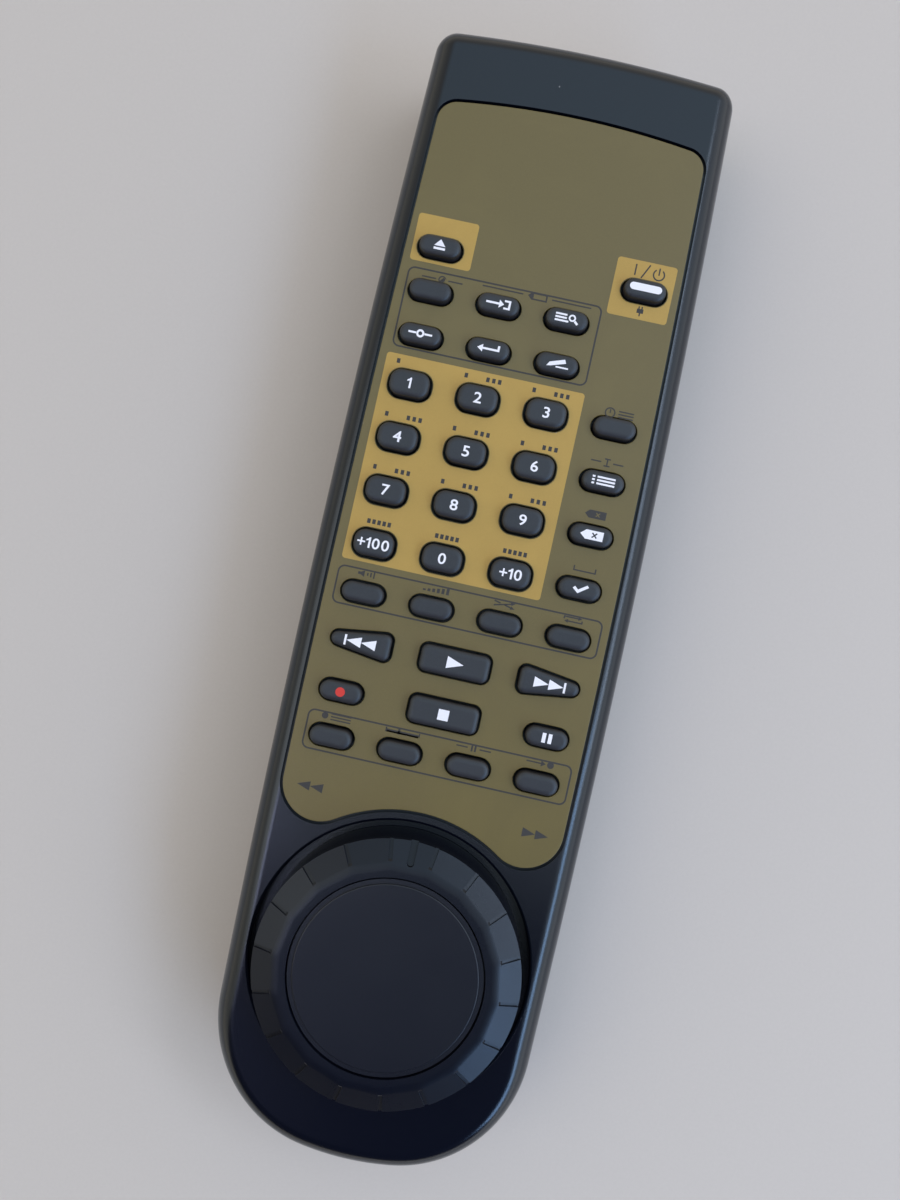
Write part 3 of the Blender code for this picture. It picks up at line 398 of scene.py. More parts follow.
# A few pale specks, each in a cell picked by its colour
def makeDustSpecks():
    group, source, target = startGroup("dustSpecks", {"Scale": 260.0, "Size": 0.05, "Share": 0.12}, ["Mask"])
    links = group.links
    place = addNode(group, "ShaderNodeTexCoord", (-900, 250))
    cells = addNode(group, "ShaderNodeTexVoronoi", (-500, 100), {"feature": "F1"})
    links.new(place.outputs["Object"], cells.inputs["Vector"])
    links.new(source.outputs["Scale"], cells.inputs["Scale"])
    near = addNode(group, "ShaderNodeMath", (-150, 200), {"operation": "LESS_THAN"})
    links.new(cells.outputs["Distance"], near.inputs[0])
    links.new(source.outputs["Size"], near.inputs[1])
    parts = addNode(group, "ShaderNodeSeparateColor", (-150, -50))
    links.new(cells.outputs["Color"], parts.inputs["Color"])
    picked = addNode(group, "ShaderNodeMath", (150, -50), {"operation": "LESS_THAN"})
    links.new(parts.outputs["Red"], picked.inputs[0])
    links.new(source.outputs["Share"], picked.inputs[1])
    both = addNode(group, "ShaderNodeMath", (450, 100), {"operation": "MULTIPLY"})
    links.new(near.outputs["Value"], both.inputs[0])
    links.new(picked.outputs["Value"], both.inputs[1])
    links.new(both.outputs["Value"], target.inputs["Mask"])
    return group


# Finishes: grain is how many cells to a metre, spread is how far colour and roughness wander
finishes = {
    "casePlastic": {"colour": (0.0027, 0.0036, 0.0085), "roughness": 0.19, "tint": (0.84, 0.98, 1.0),
                    "grain": 4600, "bump": 0.40, "spread": 0.22, "rough": 0.04, "marks": 0.03, "dust": 0.5},
    "fasciaPaint": {"colour": (0.119, 0.096, 0.029), "roughness": 0.36, "grain": 7000,
                    "bump": 0.14, "spread": 0.09, "rough": 0.04, "marks": 0.04, "dust": 0.35},
    "goldInk": {"colour": (0.388, 0.255, 0.055), "roughness": 0.48, "metallic": 0.10, "grain": 6500,
                "bump": 0.12, "spread": 0.06, "rough": 0.05, "marks": 0.04, "dust": 0.3},
    "darkInk": {"colour": (0.026, 0.026, 0.024), "roughness": 0.60, "grain": 6500, "bump": 0.12,
                "spread": 0.20, "rough": 0.05},
    "whiteInk": {"colour": (0.780, 0.800, 0.840), "roughness": 0.50, "grain": 6500, "bump": 0.12,
                 "spread": 0.05, "rough": 0.05},
    "redInk": {"colour": (0.560, 0.028, 0.018), "roughness": 0.50, "grain": 6500, "bump": 0.12,
               "spread": 0.08, "rough": 0.05},
    "keyRubber": {"colour": (0.0250, 0.0225, 0.0250), "roughness": 0.50, "tint": (0.67, 0.92, 1.0),
                  "grain": 5200, "bump": 0.30, "spread": 0.18, "rough": 0.05, "marks": 0.05, "dust": 0.4},
    "dialPlastic": {"colour": (0.0025, 0.0032, 0.0080), "roughness": 0.36, "tint": (0.86, 0.97, 1.0),
                    "grain": 5200, "bump": 0.22, "spread": 0.20, "rough": 0.04, "marks": 0.03, "dust": 0.5},
    "ringPlastic": {"colour": (0.0027, 0.0036, 0.0085), "roughness": 0.33, "tint": (0.55, 0.64, 0.66),
                    "grain": 5200, "bump": 0.22, "spread": 0.20, "rough": 0.04, "marks": 0.03, "dust": 0.5},
    "windowPlastic": {"colour": (0.020, 0.002, 0.004), "roughness": 0.08, "grain": 1500, "bump": 0.02,
                      "spread": 0.15, "rough": 0.02, "marks": 0.05},
    "boardLaminate": {"colour": (0.050, 0.110, 0.040), "roughness": 0.45, "grain": 1600, "bump": 0.25,
                      "spread": 0.25, "rough": 0.06},
    "matRubber": {"colour": (0.090, 0.090, 0.095), "roughness": 0.70, "grain": 3600, "bump": 0.25,
                  "spread": 0.12, "rough": 0.05},
    "ledResin": {"colour": (0.110, 0.070, 0.150), "roughness": 0.15, "grain": 1500, "bump": 0.03,
                 "spread": 0.10, "rough": 0.03},
    "chipResin": {"colour": (0.014, 0.014, 0.015), "roughness": 0.45, "grain": 6000, "bump": 0.30,
                  "spread": 0.25, "rough": 0.06},
    "springSteel": {"colour": (0.560, 0.560, 0.570), "roughness": 0.28, "metallic": 1.0, "grain": 5000,
                    "bump": 0.08, "spread": 0.10, "rough": 0.06},
    "screwSteel": {"colour": (0.300, 0.290, 0.280), "roughness": 0.36, "metallic": 1.0, "grain": 5000,
                   "bump": 0.15, "spread": 0.18, "rough": 0.08, "marks": 0.08},
    "cellWrap": {"colour": (0.030, 0.034, 0.040), "roughness": 0.28, "grain": 2600, "bump": 0.05,
                 "spread": 0.10, "rough": 0.04, "marks": 0.06},
    "cellBand": {"colour": (0.430, 0.250, 0.090), "roughness": 0.28, "metallic": 0.7, "grain": 2600,
                 "bump": 0.05, "spread": 0.06, "rough": 0.04, "marks": 0.06},
    "switchPlastic": {"colour": (0.050, 0.050, 0.055), "roughness": 0.50, "grain": 4000, "bump": 0.25,
                      "spread": 0.12, "rough": 0.05},
}
groups = {"grain": makeMouldGrain(), "marks": makeHandMarks(), "dust": makeDustSpecks()}
grainDepth = 0.00003


def useGroup(tree, group, place, inputs):
    node = addNode(tree, "ShaderNodeGroup", place, {"node_tree": group})
    for name, value in inputs.items():
        node.inputs[name].default_value = value
    return node


# Mixes two colours by a mask and returns the mixed socket
def mixColours(tree, place, mask, first, second):
    mix = addNode(tree, "ShaderNodeMix", place, {"data_type": "RGBA", "blend_type": "MIX"})
    tree.links.new(mask, mix.inputs[0])
    for index, colour in ((6, first), (7, second)):
        if isinstance(colour, bpy.types.NodeSocket):
            tree.links.new(colour, mix.inputs[index])
        else:
            mix.inputs[index].default_value = (*colour, 1.0)
    return mix.outputs[2]


def scaled(colour, share):
    return tuple(min(channel * share, 1.0) for channel in colour)


def makeFinish(name):
    values = finishes[name]
    made = bpy.data.materials.new(name)
    made.use_nodes = True
    tree = made.node_tree
    shader = tree.nodes["Principled BSDF"]
    shader.inputs["Metallic"].default_value = values.get("metallic", 0.0)
    shader.inputs["Specular Tint"].default_value = (*values.get("tint", (1.0, 1.0, 1.0)), 1.0)
    grain = useGroup(tree, groups["grain"], (-1200, 200), {"Scale": values["grain"], "Sparkle": 0.4})
    dark = scaled(values["colour"], 1 - values["spread"])
    light = scaled(values["colour"], 1 + values["spread"])
    colour = mixColours(tree, (-900, 300), grain.outputs["Shade"], dark, light)
    rough = addNode(tree, "ShaderNodeMapRange", (-600, 0), {"clamp": True})
    rough.inputs["To Min"].default_value = values["roughness"] + values["rough"]
    rough.inputs["To Max"].default_value = values["roughness"] - values["rough"]
    tree.links.new(grain.outputs["Shade"], rough.inputs["Value"])
    roughness = rough.outputs["Result"]
    if "marks" in values:
        marks = useGroup(tree, groups["marks"], (-1200, -100), {"Scale": 38.0, "Threshold": 0.47})
        colour = mixColours(tree, (-650, 300), marks.outputs["Mask"], colour, scaled(values["colour"], 1.12))
        polish = addNode(tree, "ShaderNodeMath", (-600, -250), {"operation": "MULTIPLY_ADD"})
        polish.inputs[1].default_value = -values["marks"]
        tree.links.new(marks.outputs["Mask"], polish.inputs[0])
        tree.links.new(roughness, polish.inputs[2])
        roughness = polish.outputs["Value"]
    if "dust" in values:
        dust = useGroup(tree, groups["dust"], (-1200, -400), {"Scale": 230.0, "Size": 0.035, "Share": 0.10})
        weaker = addNode(tree, "ShaderNodeMath", (-900, -400), {"operation": "MULTIPLY"})
        weaker.inputs[1].default_value = values["dust"]
        tree.links.new(dust.outputs["Mask"], weaker.inputs[0])
        colour = mixColours(tree, (-400, 300), weaker.outputs["Value"], colour, (0.30, 0.30, 0.30))
    tree.links.new(colour, shader.inputs["Base Color"])
    tree.links.new(roughness, shader.inputs["Roughness"])
    bump = addNode(tree, "ShaderNodeBump", (-300, -300), None,
                   {"Strength": values["bump"], "Distance": grainDepth})
    tree.links.new(grain.outputs["Height"], bump.inputs["Height"])
    tree.links.new(bump.outputs["Normal"], shader.inputs["Normal"])
    return made


materials = {name: makeFinish(name) for name in finishes}
print("finishes:", len(materials))


def coat(piece, finish):
    piece.data.materials.clear()
    piece.data.materials.append(materials[finish])


# The case seen from above: a bowed side, a flat head, a round tail
caseShape = {
    "width": 0.0612, "sideRadius": 3.3, "widestY": -0.026, "headRadius": 0.290, "headCorner": 0.0047,
    "tailRadius": 0.0545, "tailCorner": 0.0250, "sideWall": 0.0020, "ceilingInset": 0.0044,
    "partingGap": 0.0003, "upperDraft": 0.0004, "shoulderReach": 0.0041, "shoulderDrop": 0.0049,
    "lowerDraft": 0.0009, "heelReach": 0.0032, "heelRise": 0.0036, "lipInset": 0.0011, "lipTop": 0.01125,
    "lipGap": 0.0003, "edge": 0.00018,
}
levels = {
    "lowerTop": 0.00985, "upperBase": 0.01015, "ceiling": 0.0221, "pocket": 0.0235, "fasciaBase": 0.0238,
    "fasciaTop": 0.0245, "flangeBase": 0.0210, "flangeTop": 0.0218, "keyTop": 0.0263, "roofTop": 0.0178,
    "roofBase": 0.0168, "panTop": 0.0214, "panBase": 0.0200, "dialTop": 0.0318, "capSeat": 0.0299,
    "dialBase": 0.0217, "dialPlate": 0.0283, "hubBase": 0.0250, "cellCentre": 0.0094, "ledAxis": 0.0149,
}
caseLow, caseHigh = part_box("bottom_case")
headY = caseHigh.y
tailY = caseLow.y
caseLength = headY - tailY
dialY = (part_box("shuttle_ring")[0].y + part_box("shuttle_ring")[1].y) / 2
outlineSteps = {"tail": 16, "tailCorner": 28, "side": 16, "headCorner": 12, "head": 12}


def drawCase(name, inset, z):
    sideCentre = (caseShape["width"] / 2 - caseShape["sideRadius"], caseShape["widestY"] * caseLength)
    sideRadius = caseShape["sideRadius"] - inset
    headCentre = (0.0, headY - caseShape["headRadius"])
    headRadius = caseShape["headRadius"] - inset
    tailCentre = (0.0, tailY + caseShape["tailRadius"])
    tailRadius = caseShape["tailRadius"] - inset
    headCorner = max(caseShape["headCorner"] - inset, 0.0005)
    tailCorner = max(caseShape["tailCorner"] - inset, 0.0005)
    headTurn = crossing(sideCentre, sideRadius - headCorner, headCentre, headRadius - headCorner, True)
    tailTurn = crossing(sideCentre, sideRadius - tailCorner, tailCentre, tailRadius - tailCorner, False)
    stops = [-pi / 2, heading(tailCentre, tailTurn), heading(sideCentre, tailTurn),
             heading(sideCentre, headTurn), heading(headCentre, headTurn), pi / 2]
    centres = [tailCentre, tailTurn, sideCentre, headTurn, headCentre]
    piece = startPoint(name, 0.0, tailY + inset, z)
    for index, (centre, steps) in enumerate(zip(centres, outlineSteps.values())):
        arcOn(centre, stops[index + 1] - stops[index], steps)
    mirrorHalf()
    fillOutline(piece)
    return piece


# Heights and reaches of a quarter ellipse in small steps, as (reach, rise) from one step to the next
def quarterSteps(reach, rise, count):
    stations = [(reach * (1 - cos(pi / 2 * step / count)), rise * sin(pi / 2 * step / count))
                for step in range(count + 1)]
    return [(after[0] - before[0], after[1] - before[1]) for before, after in zip(stations, stations[1:])]


# Fascia seen from above: its foot runs round the dial and ends in two lobes
fasciaShape = {
    "headY": headY - 0.0145, "topRadius": 0.163, "corner": 0.0037, "lobe": 0.0070, "sideRim": 0.0044,
    "footRadius": 0.0276, "groove": 0.0005, "edge": 0.00016, "steps": (24, 20, 20, 10, 16),
}


def drawFascia(name, growth, z):
    sideCentre = (caseShape["width"] / 2 - caseShape["sideRadius"], caseShape["widestY"] * caseLength)
    sideRadius = caseShape["sideRadius"] - fasciaShape["sideRim"] + growth
    headCentre = (0.0, fasciaShape["headY"] - fasciaShape["topRadius"])
    headRadius = fasciaShape["topRadius"] + growth
    corner = fasciaShape["corner"] + growth
    lobe = fasciaShape["lobe"] + growth
    dialCentre = (0.0, dialY)
    footRadius = fasciaShape["footRadius"] - growth
    headTurn = crossing(sideCentre, sideRadius - corner, headCentre, headRadius - corner, True)
    lobeTurn = crossing(sideCentre, sideRadius - lobe, dialCentre, footRadius + lobe, True)
    lobeStart = heading(dialCentre, lobeTurn)
    angles = [lobeStart - pi / 2,
              turnBetween(lobeStart - pi, heading(sideCentre, lobeTurn)),
              heading(sideCentre, headTurn) - heading(sideCentre, lobeTurn),
              heading(headCentre, headTurn) - heading(sideCentre, headTurn),
              pi / 2 - heading(headCentre, headTurn)]
    if angles[1] < 0:
        angles[1] += 2 * pi
    centres = [dialCentre, lobeTurn, sideCentre, headTurn, headCentre]
    piece = startPoint(name, 0.0, dialY + footRadius, z)
    for centre, angle, steps in zip(centres, angles, fasciaShape["steps"]):
        arcOn(centre, angle, steps)
    mirrorHalf()
    fillOutline(piece)
    return piece


# Keys: where they are and what their holes look like
keyShape = {
    "gap": 0.00045, "flange": 0.00075, "ovalLength": 0.0086, "ovalHeight": 0.0044, "numberLength": 0.0082,
    "numberHeight": 0.0056, "numberCorner": 0.0024, "wideLength": 0.0136, "wideHeight": 0.0058,
    "wideCorner": 0.0017, "skipLength": 0.0118, "skipHeight": 0.0057, "skipTip": 0.0033,
    "skipCorner": 0.0016, "edgeReach": 0.00105, "edgeDrop": 0.00060, "edgeSteps": 8, "holeRelief": 0.0002,
}


def skipDiscs(side):
    tip = keyShape["skipTip"] / 2
    corner = keyShape["skipCorner"]
    tipX = side * (keyShape["skipLength"] / 2 - tip)
    wideX = -side * (keyShape["skipLength"] / 2 - corner)
    rise = keyShape["skipHeight"] / 2 - corner
    return [(tipX, 0.0, tip), (wideX, side * rise, corner), (wideX, -side * rise, corner)]


keyKinds = {
    "oval": pillDiscs(keyShape["ovalLength"], keyShape["ovalHeight"]),
    "number": boxDiscs(keyShape["numberLength"], keyShape["numberHeight"], keyShape["numberCorner"]),
    "wide": boxDiscs(keyShape["wideLength"], keyShape["wideHeight"], keyShape["wideCorner"]),
    "skipBack": skipDiscs(-1),
    "skipForward": skipDiscs(1),
}


def kindOf(node):
    if node.startswith("number_"):
        return "number"
    return {"play_key": "wide", "stop_key": "wide", "skip_back_key": "skipBack",
            "skip_forward_key": "skipForward"}.get(node, "oval")


keyNodes = sorted(name for name in nodes if name.endswith("_key"))
keyPlaces = {}
for keyNode in keyNodes:
    keyLow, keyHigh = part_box(keyNode)
    keyPlaces[keyNode] = ((keyLow.x + keyHigh.x) / 2, (keyLow.y + keyHigh.y) / 2)


# All the key holes as one tool, grown alike
def keyHoles(name, growth, low, high):
    tools = []
    for kind, discs in keyKinds.items():
        places = [keyPlaces[node] for node in keyNodes if kindOf(node) == kind]
        pattern = standing(name, discs, growth, (0.0, 0.0), low, high)
        tools += [copyTo(pattern, name, (place[0], place[1], 0.0)) for place in places]
        bpy.data.objects.remove(pattern, do_unlink=True)
    return joinAll(tools, name)


# Top shell
recessShape = {"radius": 0.0255, "panRadius": 0.0269, "switchHole": 0.0090, "holeBase": 0.018,
               "holeTop": 0.023}


def makeTopShell():
    shell = drawCase("topShell", 0.0, levels["upperBase"])
    shoulderZ = levels["fasciaTop"] - caseShape["shoulderDrop"]
    drawIn(caseShape["upperDraft"], shoulderZ - levels["upperBase"])
    for reach, rise in quarterSteps(caseShape["shoulderReach"], caseShape["shoulderDrop"], 16):
        drawIn(reach, rise)
    closeMesh()
    rebate = caseShape["lipInset"] - caseShape["partingGap"]
    cavity = drawCase("upperCavity", rebate, levels["upperBase"] - overrun)
    raiseFace(caseShape["lipTop"] + caseShape["lipGap"] - levels["upperBase"] + overrun)
    drawIn(caseShape["sideWall"] - rebate, 0.0)
    drawIn(caseShape["upperDraft"], shoulderZ - caseShape["lipTop"] - caseShape["lipGap"])
    drawIn(caseShape["ceilingInset"] - caseShape["upperDraft"] - caseShape["sideWall"],
           levels["ceiling"] - shoulderZ)
    closeMesh()
    carve(cavity, drum("panForm", (0.0, dialY), recessShape["panRadius"], levels["panBase"],
                       levels["ceiling"] + overrun, 96))
    carve(shell, cavity)
    for place in screwPlaces.values():
        carve(shell, drum("boss", place, seatShape["boss"], seatShape["bossBase"],
                          levels["ceiling"] + seatShape["bossRoot"], 32), "UNION")
    pocket = drawFascia("fasciaPocket", fasciaShape["groove"], levels["pocket"])
    raiseFace(0.003)
    closeMesh()
    carve(shell, pocket)
    carve(shell, flaredDrum("dialRecess", (0.0, dialY), recessShape["radius"], levels["panTop"],
                            levels["fasciaTop"], 160))
    carve(shell, drum("switchHole", (0.0, dialY), recessShape["switchHole"], recessShape["holeBase"],
                      recessShape["holeTop"], 64))
    carve(shell, keyHoles("ceilingHoles", keyShape["holeRelief"],
                          levels["ceiling"] - overrun, levels["pocket"] + overrun))
    for place in screwPlaces.values():
        carve(shell, drum("bore", place, seatShape["bore"], seatShape["upperBoreBase"],
                          seatShape["upperBoreTop"], 24))
    half, rise = windowShape["slotHalfWidth"], windowShape["slotHalfHeight"]
    slotLow = (-half, headY - windowShape["slotDepth"], levels["ledAxis"] - rise)
    slotHigh = (half, headY + overrun, levels["ledAxis"] + rise)
    carve(shell, block("windowSlot", slotLow, slotHigh))
    top = levels["fasciaTop"]
    softenEdges(shell, lambda edge: all(vert.co.z > top - 0.0004 for vert in edge.verts)
                and edge.is_manifold and edge.calc_face_angle(0.0) > radians(55), caseShape["edge"])
    softenEdges(shell, lambda edge: onOuterRim(edge, levels["upperBase"]), caseShape["edge"])
    smoothOver(shell, 32)
    coat(shell, "casePlastic")
    standIn(shell, "case", "case_plastic", "top_case")
    print("top shell:", len(shell.data.polygons), "faces")


# Whether an edge runs round the outside of a shell at a height
def onOuterRim(edge, height):
    if any(abs(vert.co.z - height) > levelGap for vert in edge.verts):
        return False
    middle = (edge.verts[0].co + edge.verts[1].co) / 2
    return any(abs(face.normal.z) < 0.3 and face.normal.x * middle.x + face.normal.y * middle.y > 0
               for face in edge.link_faces)


# Screws: where they are, and the bosses, posts and holes round them
seatShape = {
    "boss": 0.0032, "bossBase": 0.0065, "bossRoot": 0.0007, "post": 0.0041, "postBase": 0.0010,
    "postTop": 0.0062, "headHole": 0.0031, "headTop": 0.0030, "bore": 0.0017, "upperBoreBase": 0.0042,
    "upperBoreTop": 0.0150, "lowerBoreBase": 0.0020, "lowerBoreTop": 0.0082,
}
screwPlaces = {}
for side in ("head", "left", "right"):
    screwLow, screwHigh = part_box("case_screw_" + side)
    screwPlaces[side] = ((screwLow.x + screwHigh.x) / 2, (screwLow.y + screwHigh.y) / 2)


# Bottom shell and battery door
doorShape = {
    "halfWidth": 0.0150, "tongue": 0.0014, "thickness": 0.0020, "tongueZ": 0.0010, "gap": 0.0003,
    "headY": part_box("battery_door")[1].y, "gripCount": 5, "gripWidth": 0.0010, "gripPitch": 0.0020,
    "gripLength": 0.0130, "gripDepth": 0.0004, "gripStart": 0.0110, "arrowLength": 0.0040,
    "arrowWidth": 0.0050, "edge": 0.00015,
}


def lowerForm(name):
    form = drawCase(name, 0.0, levels["lowerTop"])
    bpy.ops.mesh.flip_normals()
    drawIn(caseShape["lowerDraft"], levels["lowerTop"] - caseShape["heelRise"])
    for reach, rise in quarterSteps(caseShape["heelReach"], caseShape["heelRise"], 9):
        drawIn(reach, rise)
    turnOutward(form)
    return form


def makeChannel(name, growth, floor, yLow, yHigh):
    narrow = doorShape["halfWidth"] + growth
    broad = narrow + doorShape["tongue"]
    top = doorShape["thickness"] + growth
    piece = block(name, (-narrow, yLow, floor), (narrow, yHigh, top))
    wide = block(name + "Tongue", (-broad, yLow, doorShape["tongueZ"] - growth), (broad, yHigh, top))
    carve(piece, wide, "UNION")
    return piece


cellRoom = {"halfWidth": 0.0148, "outerHalf": 0.0160, "tailGap": 0.0115, "headGap": 0.0020,
            "wall": 0.0012, "wallBase": 0.0017, "base": 0.0010}
padShape = {"margin": 0.0018, "height": 0.0035}
lipRoot = 0.001


def makeBottomShell():
    shell = lowerForm("bottomShell")
    lip = drawCase("lip", caseShape["lipInset"], levels["lowerTop"] - lipRoot)
    raiseFace(caseShape["lipTop"] - levels["lowerTop"] + lipRoot)
    closeMesh()
    carve(shell, lip, "UNION")
    cavity = drawCase("lowerCavity", caseShape["sideWall"], caseShape["lipTop"] + overrun)
    bpy.ops.mesh.flip_normals()
    bpy.ops.mesh.extrude_region_move(
        TRANSFORM_OT_translate={"value": (0, 0, levels["lowerTop"] - caseShape["lipTop"] - overrun)})
    drawIn(caseShape["lowerDraft"], levels["lowerTop"] - caseShape["heelRise"])
    drawIn(caseShape["heelReach"] - caseShape["sideWall"], caseShape["heelRise"] - 0.0020)
    closeMesh()
    turnOutward(cavity)
    half = doorShape["halfWidth"] + doorShape["tongue"] + padShape["margin"]
    carve(cavity, block("railPad", (-half, tailY - overrun, 0.0),
                        (half, doorShape["headY"] + padShape["margin"], padShape["height"])))
    carve(shell, cavity)
    low = tailY + cellRoom["tailGap"]
    high = doorShape["headY"] - cellRoom["headGap"]
    carve(shell, block("cellWalls", (-cellRoom["outerHalf"], low - cellRoom["wall"], cellRoom["wallBase"]),
                       (cellRoom["outerHalf"], high + cellRoom["wall"], levels["roofTop"])), "UNION")
    for place in screwPlaces.values():
        carve(shell, drum("post", place, seatShape["post"], seatShape["postBase"], seatShape["postTop"], 40),
              "UNION")
    carve(shell, block("cellRoom", (-cellRoom["halfWidth"], low, cellRoom["base"]),
                       (cellRoom["halfWidth"], high, levels["roofBase"])))
    for place in screwPlaces.values():
        carve(shell, drum("headHole", place, seatShape["headHole"], -overrun, seatShape["headTop"], 40))
        carve(shell, drum("bore", place, seatShape["bore"], seatShape["lowerBoreBase"],
                          seatShape["lowerBoreTop"], 24))
    carve(shell, makeChannel("channel", doorShape["gap"], -overrun, tailY - overrun,
                             doorShape["headY"] + doorShape["gap"]))
    softenEdges(shell, sharpAt(0.0), caseShape["edge"])
    softenEdges(shell, lambda edge: onOuterRim(edge, levels["lowerTop"]), caseShape["edge"])
    smoothOver(shell, 32)
    coat(shell, "casePlastic")
    standIn(shell, "case", "case_plastic", "bottom_case")
    print("bottom shell:", len(shell.data.polygons), "faces")


def makeDoor():
    door = makeChannel("batteryDoor", 0.0, -overrun, tailY - overrun, doorShape["headY"])
    carve(door, lowerForm("doorForm"), "INTERSECT")
    grips = []
    start = tailY + doorShape["gripStart"]
    half = doorShape["gripLength"] / 2
    for index in range(doorShape["gripCount"]):
        y = start + index * doorShape["gripPitch"] + doorShape["gripWidth"] / 2
        discs = pillDiscs(doorShape["gripLength"], doorShape["gripWidth"])
        grips.append(standing("grip", discs, 0.0, (0.0, y), -overrun, doorShape["gripDepth"]))
    arrowY = start + (doorShape["gripCount"] + 1) * doorShape["gripPitch"]
    corner = 0.0003
    reach = doorShape["arrowWidth"] / 2 - corner
    arrow = [(0.0, arrowY + 2 * corner, corner), (reach, arrowY + doorShape["arrowLength"] - corner, corner),
             (-reach, arrowY + doorShape["arrowLength"] - corner, corner)]
    grips.append(standing("arrow", arrow, 0.0, (0.0, 0.0), -overrun, doorShape["gripDepth"], 5))
    for grip in grips:
        carve(door, grip)
    softenEdges(door, sharpAt(0.0), doorShape["edge"])
    smoothOver(door, 32)
    coat(door, "casePlastic")
    standIn(door, "door", "case_plastic", "battery_door")
    print("battery door:", len(door.data.polygons), "faces")


# Fascia plate
def makeFascia():
    plate = drawFascia("fasciaPlate", 0.0, levels["fasciaBase"])
    raiseFace(levels["fasciaTop"] - levels["fasciaBase"])
    closeMesh()
    carve(plate, keyHoles("fasciaHoles", 0.0, levels["fasciaBase"] - 0.001, levels["fasciaTop"] + 0.001))
    softenEdges(plate, sharpAt(levels["fasciaTop"]), fasciaShape["edge"])
    smoothOver(plate, 32)
    coat(plate, "fasciaPaint")
    return plate


# Keys: one of each kind, copied to its places
def makeKeyPatterns():
    patterns = {}
    for kind, discs in keyKinds.items():
        reach = keyShape["flange"] - keyShape["gap"]
        key = drawBelt(kind, discs, reach, (0.0, 0.0), levels["flangeBase"], 12)
        raiseFace(levels["flangeTop"] - levels["flangeBase"])
        drawIn(keyShape["flange"], 0.0)
        raiseFace(levels["keyTop"] - keyShape["edgeDrop"] - levels["flangeTop"])
        for inset, rise in quarterSteps(keyShape["edgeReach"], keyShape["edgeDrop"], keyShape["edgeSteps"]):
            drawIn(inset, rise)
        closeMesh()
        turnOutward(key)
        smoothOver(key, 40)
        coat(key, "keyRubber")
        patterns[kind] = key
    return patterns


# Prints: flat closed outlines in millimetres, each a list of points, or ("ring", x, y, outer, inner)
printThickness = 0.00001
digitHeight = 0.00200


def makePrint(name, outlines, place, z, finish):
    curve = bpy.data.curves.new(name, "CURVE")
    curve.dimensions = "2D"
    curve.fill_mode = "BOTH"
    for outline in outlines:
        if outline[0] == "ring":
            circles = [radius for radius in outline[3:] if radius > 0]
            lines = [[(outline[1] + radius * cos(pi / 20 * step), outline[2] + radius * sin(pi / 20 * step))
                      for step in range(40)] for radius in circles]
        else:
            lines = [outline]
        for line in lines:
            spline = curve.splines.new("POLY")
            spline.points.add(len(line) - 1)
            for point, (x, y) in zip(spline.points, line):
                point.co = (x / 1000, y / 1000, 0.0, 1.0)
            spline.use_cyclic_u = True
    curve.extrude = printThickness
    piece = bpy.data.objects.new(name, curve)
    bpy.context.scene.collection.objects.link(piece)
    choose(piece)
    bpy.ops.object.convert(target="MESH")
    piece = bpy.context.object
    piece.location = (place[0], place[1], z)
    bpy.ops.object.transform_apply(location=True, rotation=True, scale=True)
    coat(piece, finish)
    return piece


def makeNumber(name, text, height, place, z, finish, stretch):
    bpy.ops.object.text_add(location=(0, 0, 0))
    piece = bpy.context.object
    piece.name = name
    piece.data.body = text
    piece.data.align_x = "CENTER"
    piece.data.align_y = "CENTER"
    piece.data.size = height / 0.72
    piece.data.offset = height * 0.020
    piece.data.extrude = printThickness
    piece.data.resolution_u = 4
    bpy.ops.object.convert(target="MESH")
    piece = bpy.context.object
    low = Vector([min(vert.co[axis] for vert in piece.data.vertices) for axis in range(3)])
    high = Vector([max(vert.co[axis] for vert in piece.data.vertices) for axis in range(3)])
    middle = (low + high) / 2
    scale = height / (high.y - low.y)
    piece.location = (place[0] - middle.x * scale * stretch, place[1] - middle.y * scale, z)
    piece.scale = (scale * stretch, scale, 1.0)
    bpy.ops.object.transform_apply(location=True, rotation=True, scale=True)
    coat(piece, finish)
    return piece


def bar(x0, y0, x1, y1):
    return [(x0, y0), (x1, y0), (x1, y1), (x0, y1)]


def stroke(start, end, width):
    angle = heading(start, end) + pi / 2
    dx = width / 2 * cos(angle)
    dy = width / 2 * sin(angle)
    return [(start[0] - dx, start[1] - dy), (end[0] - dx, end[1] - dy),
            (end[0] + dx, end[1] + dy), (start[0] + dx, start[1] + dy)]


def pill(x0, y0, x1, y1):
    radius = (y1 - y0) / 2
    middle = (y0 + y1) / 2
    turns = [pi / 10 * step - pi / 2 for step in range(11)]
    right = [(x1 - radius + radius * cos(turn), middle + radius * sin(turn)) for turn in turns]
    left = [(x0 + radius - radius * cos(turn), middle - radius * sin(turn)) for turn in turns]
    return right + left


# A cross of two bars as one outline, upright or turned
def cross(x, y, reach, width, turn=0.0):
    half = width / 2
    corner = [(half, half), (reach, half), (reach, -half)]
    points = []
    for quarter in range(4):
        angle = -quarter * pi / 2
        points += [(px * cos(angle) - py * sin(angle), px * sin(angle) + py * cos(angle))
                   for px, py in corner]
    return [(x + px * cos(turn) - py * sin(turn), y + px * sin(turn) + py * cos(turn))
            for px, py in points]


numeralOne = [(0.02, -0.975), (0.36, -0.975), (0.36, 0.975), (0.10, 0.975), (-0.10, 0.70),
              (-0.42, 0.56), (-0.42, 0.28), (0.02, 0.40)]

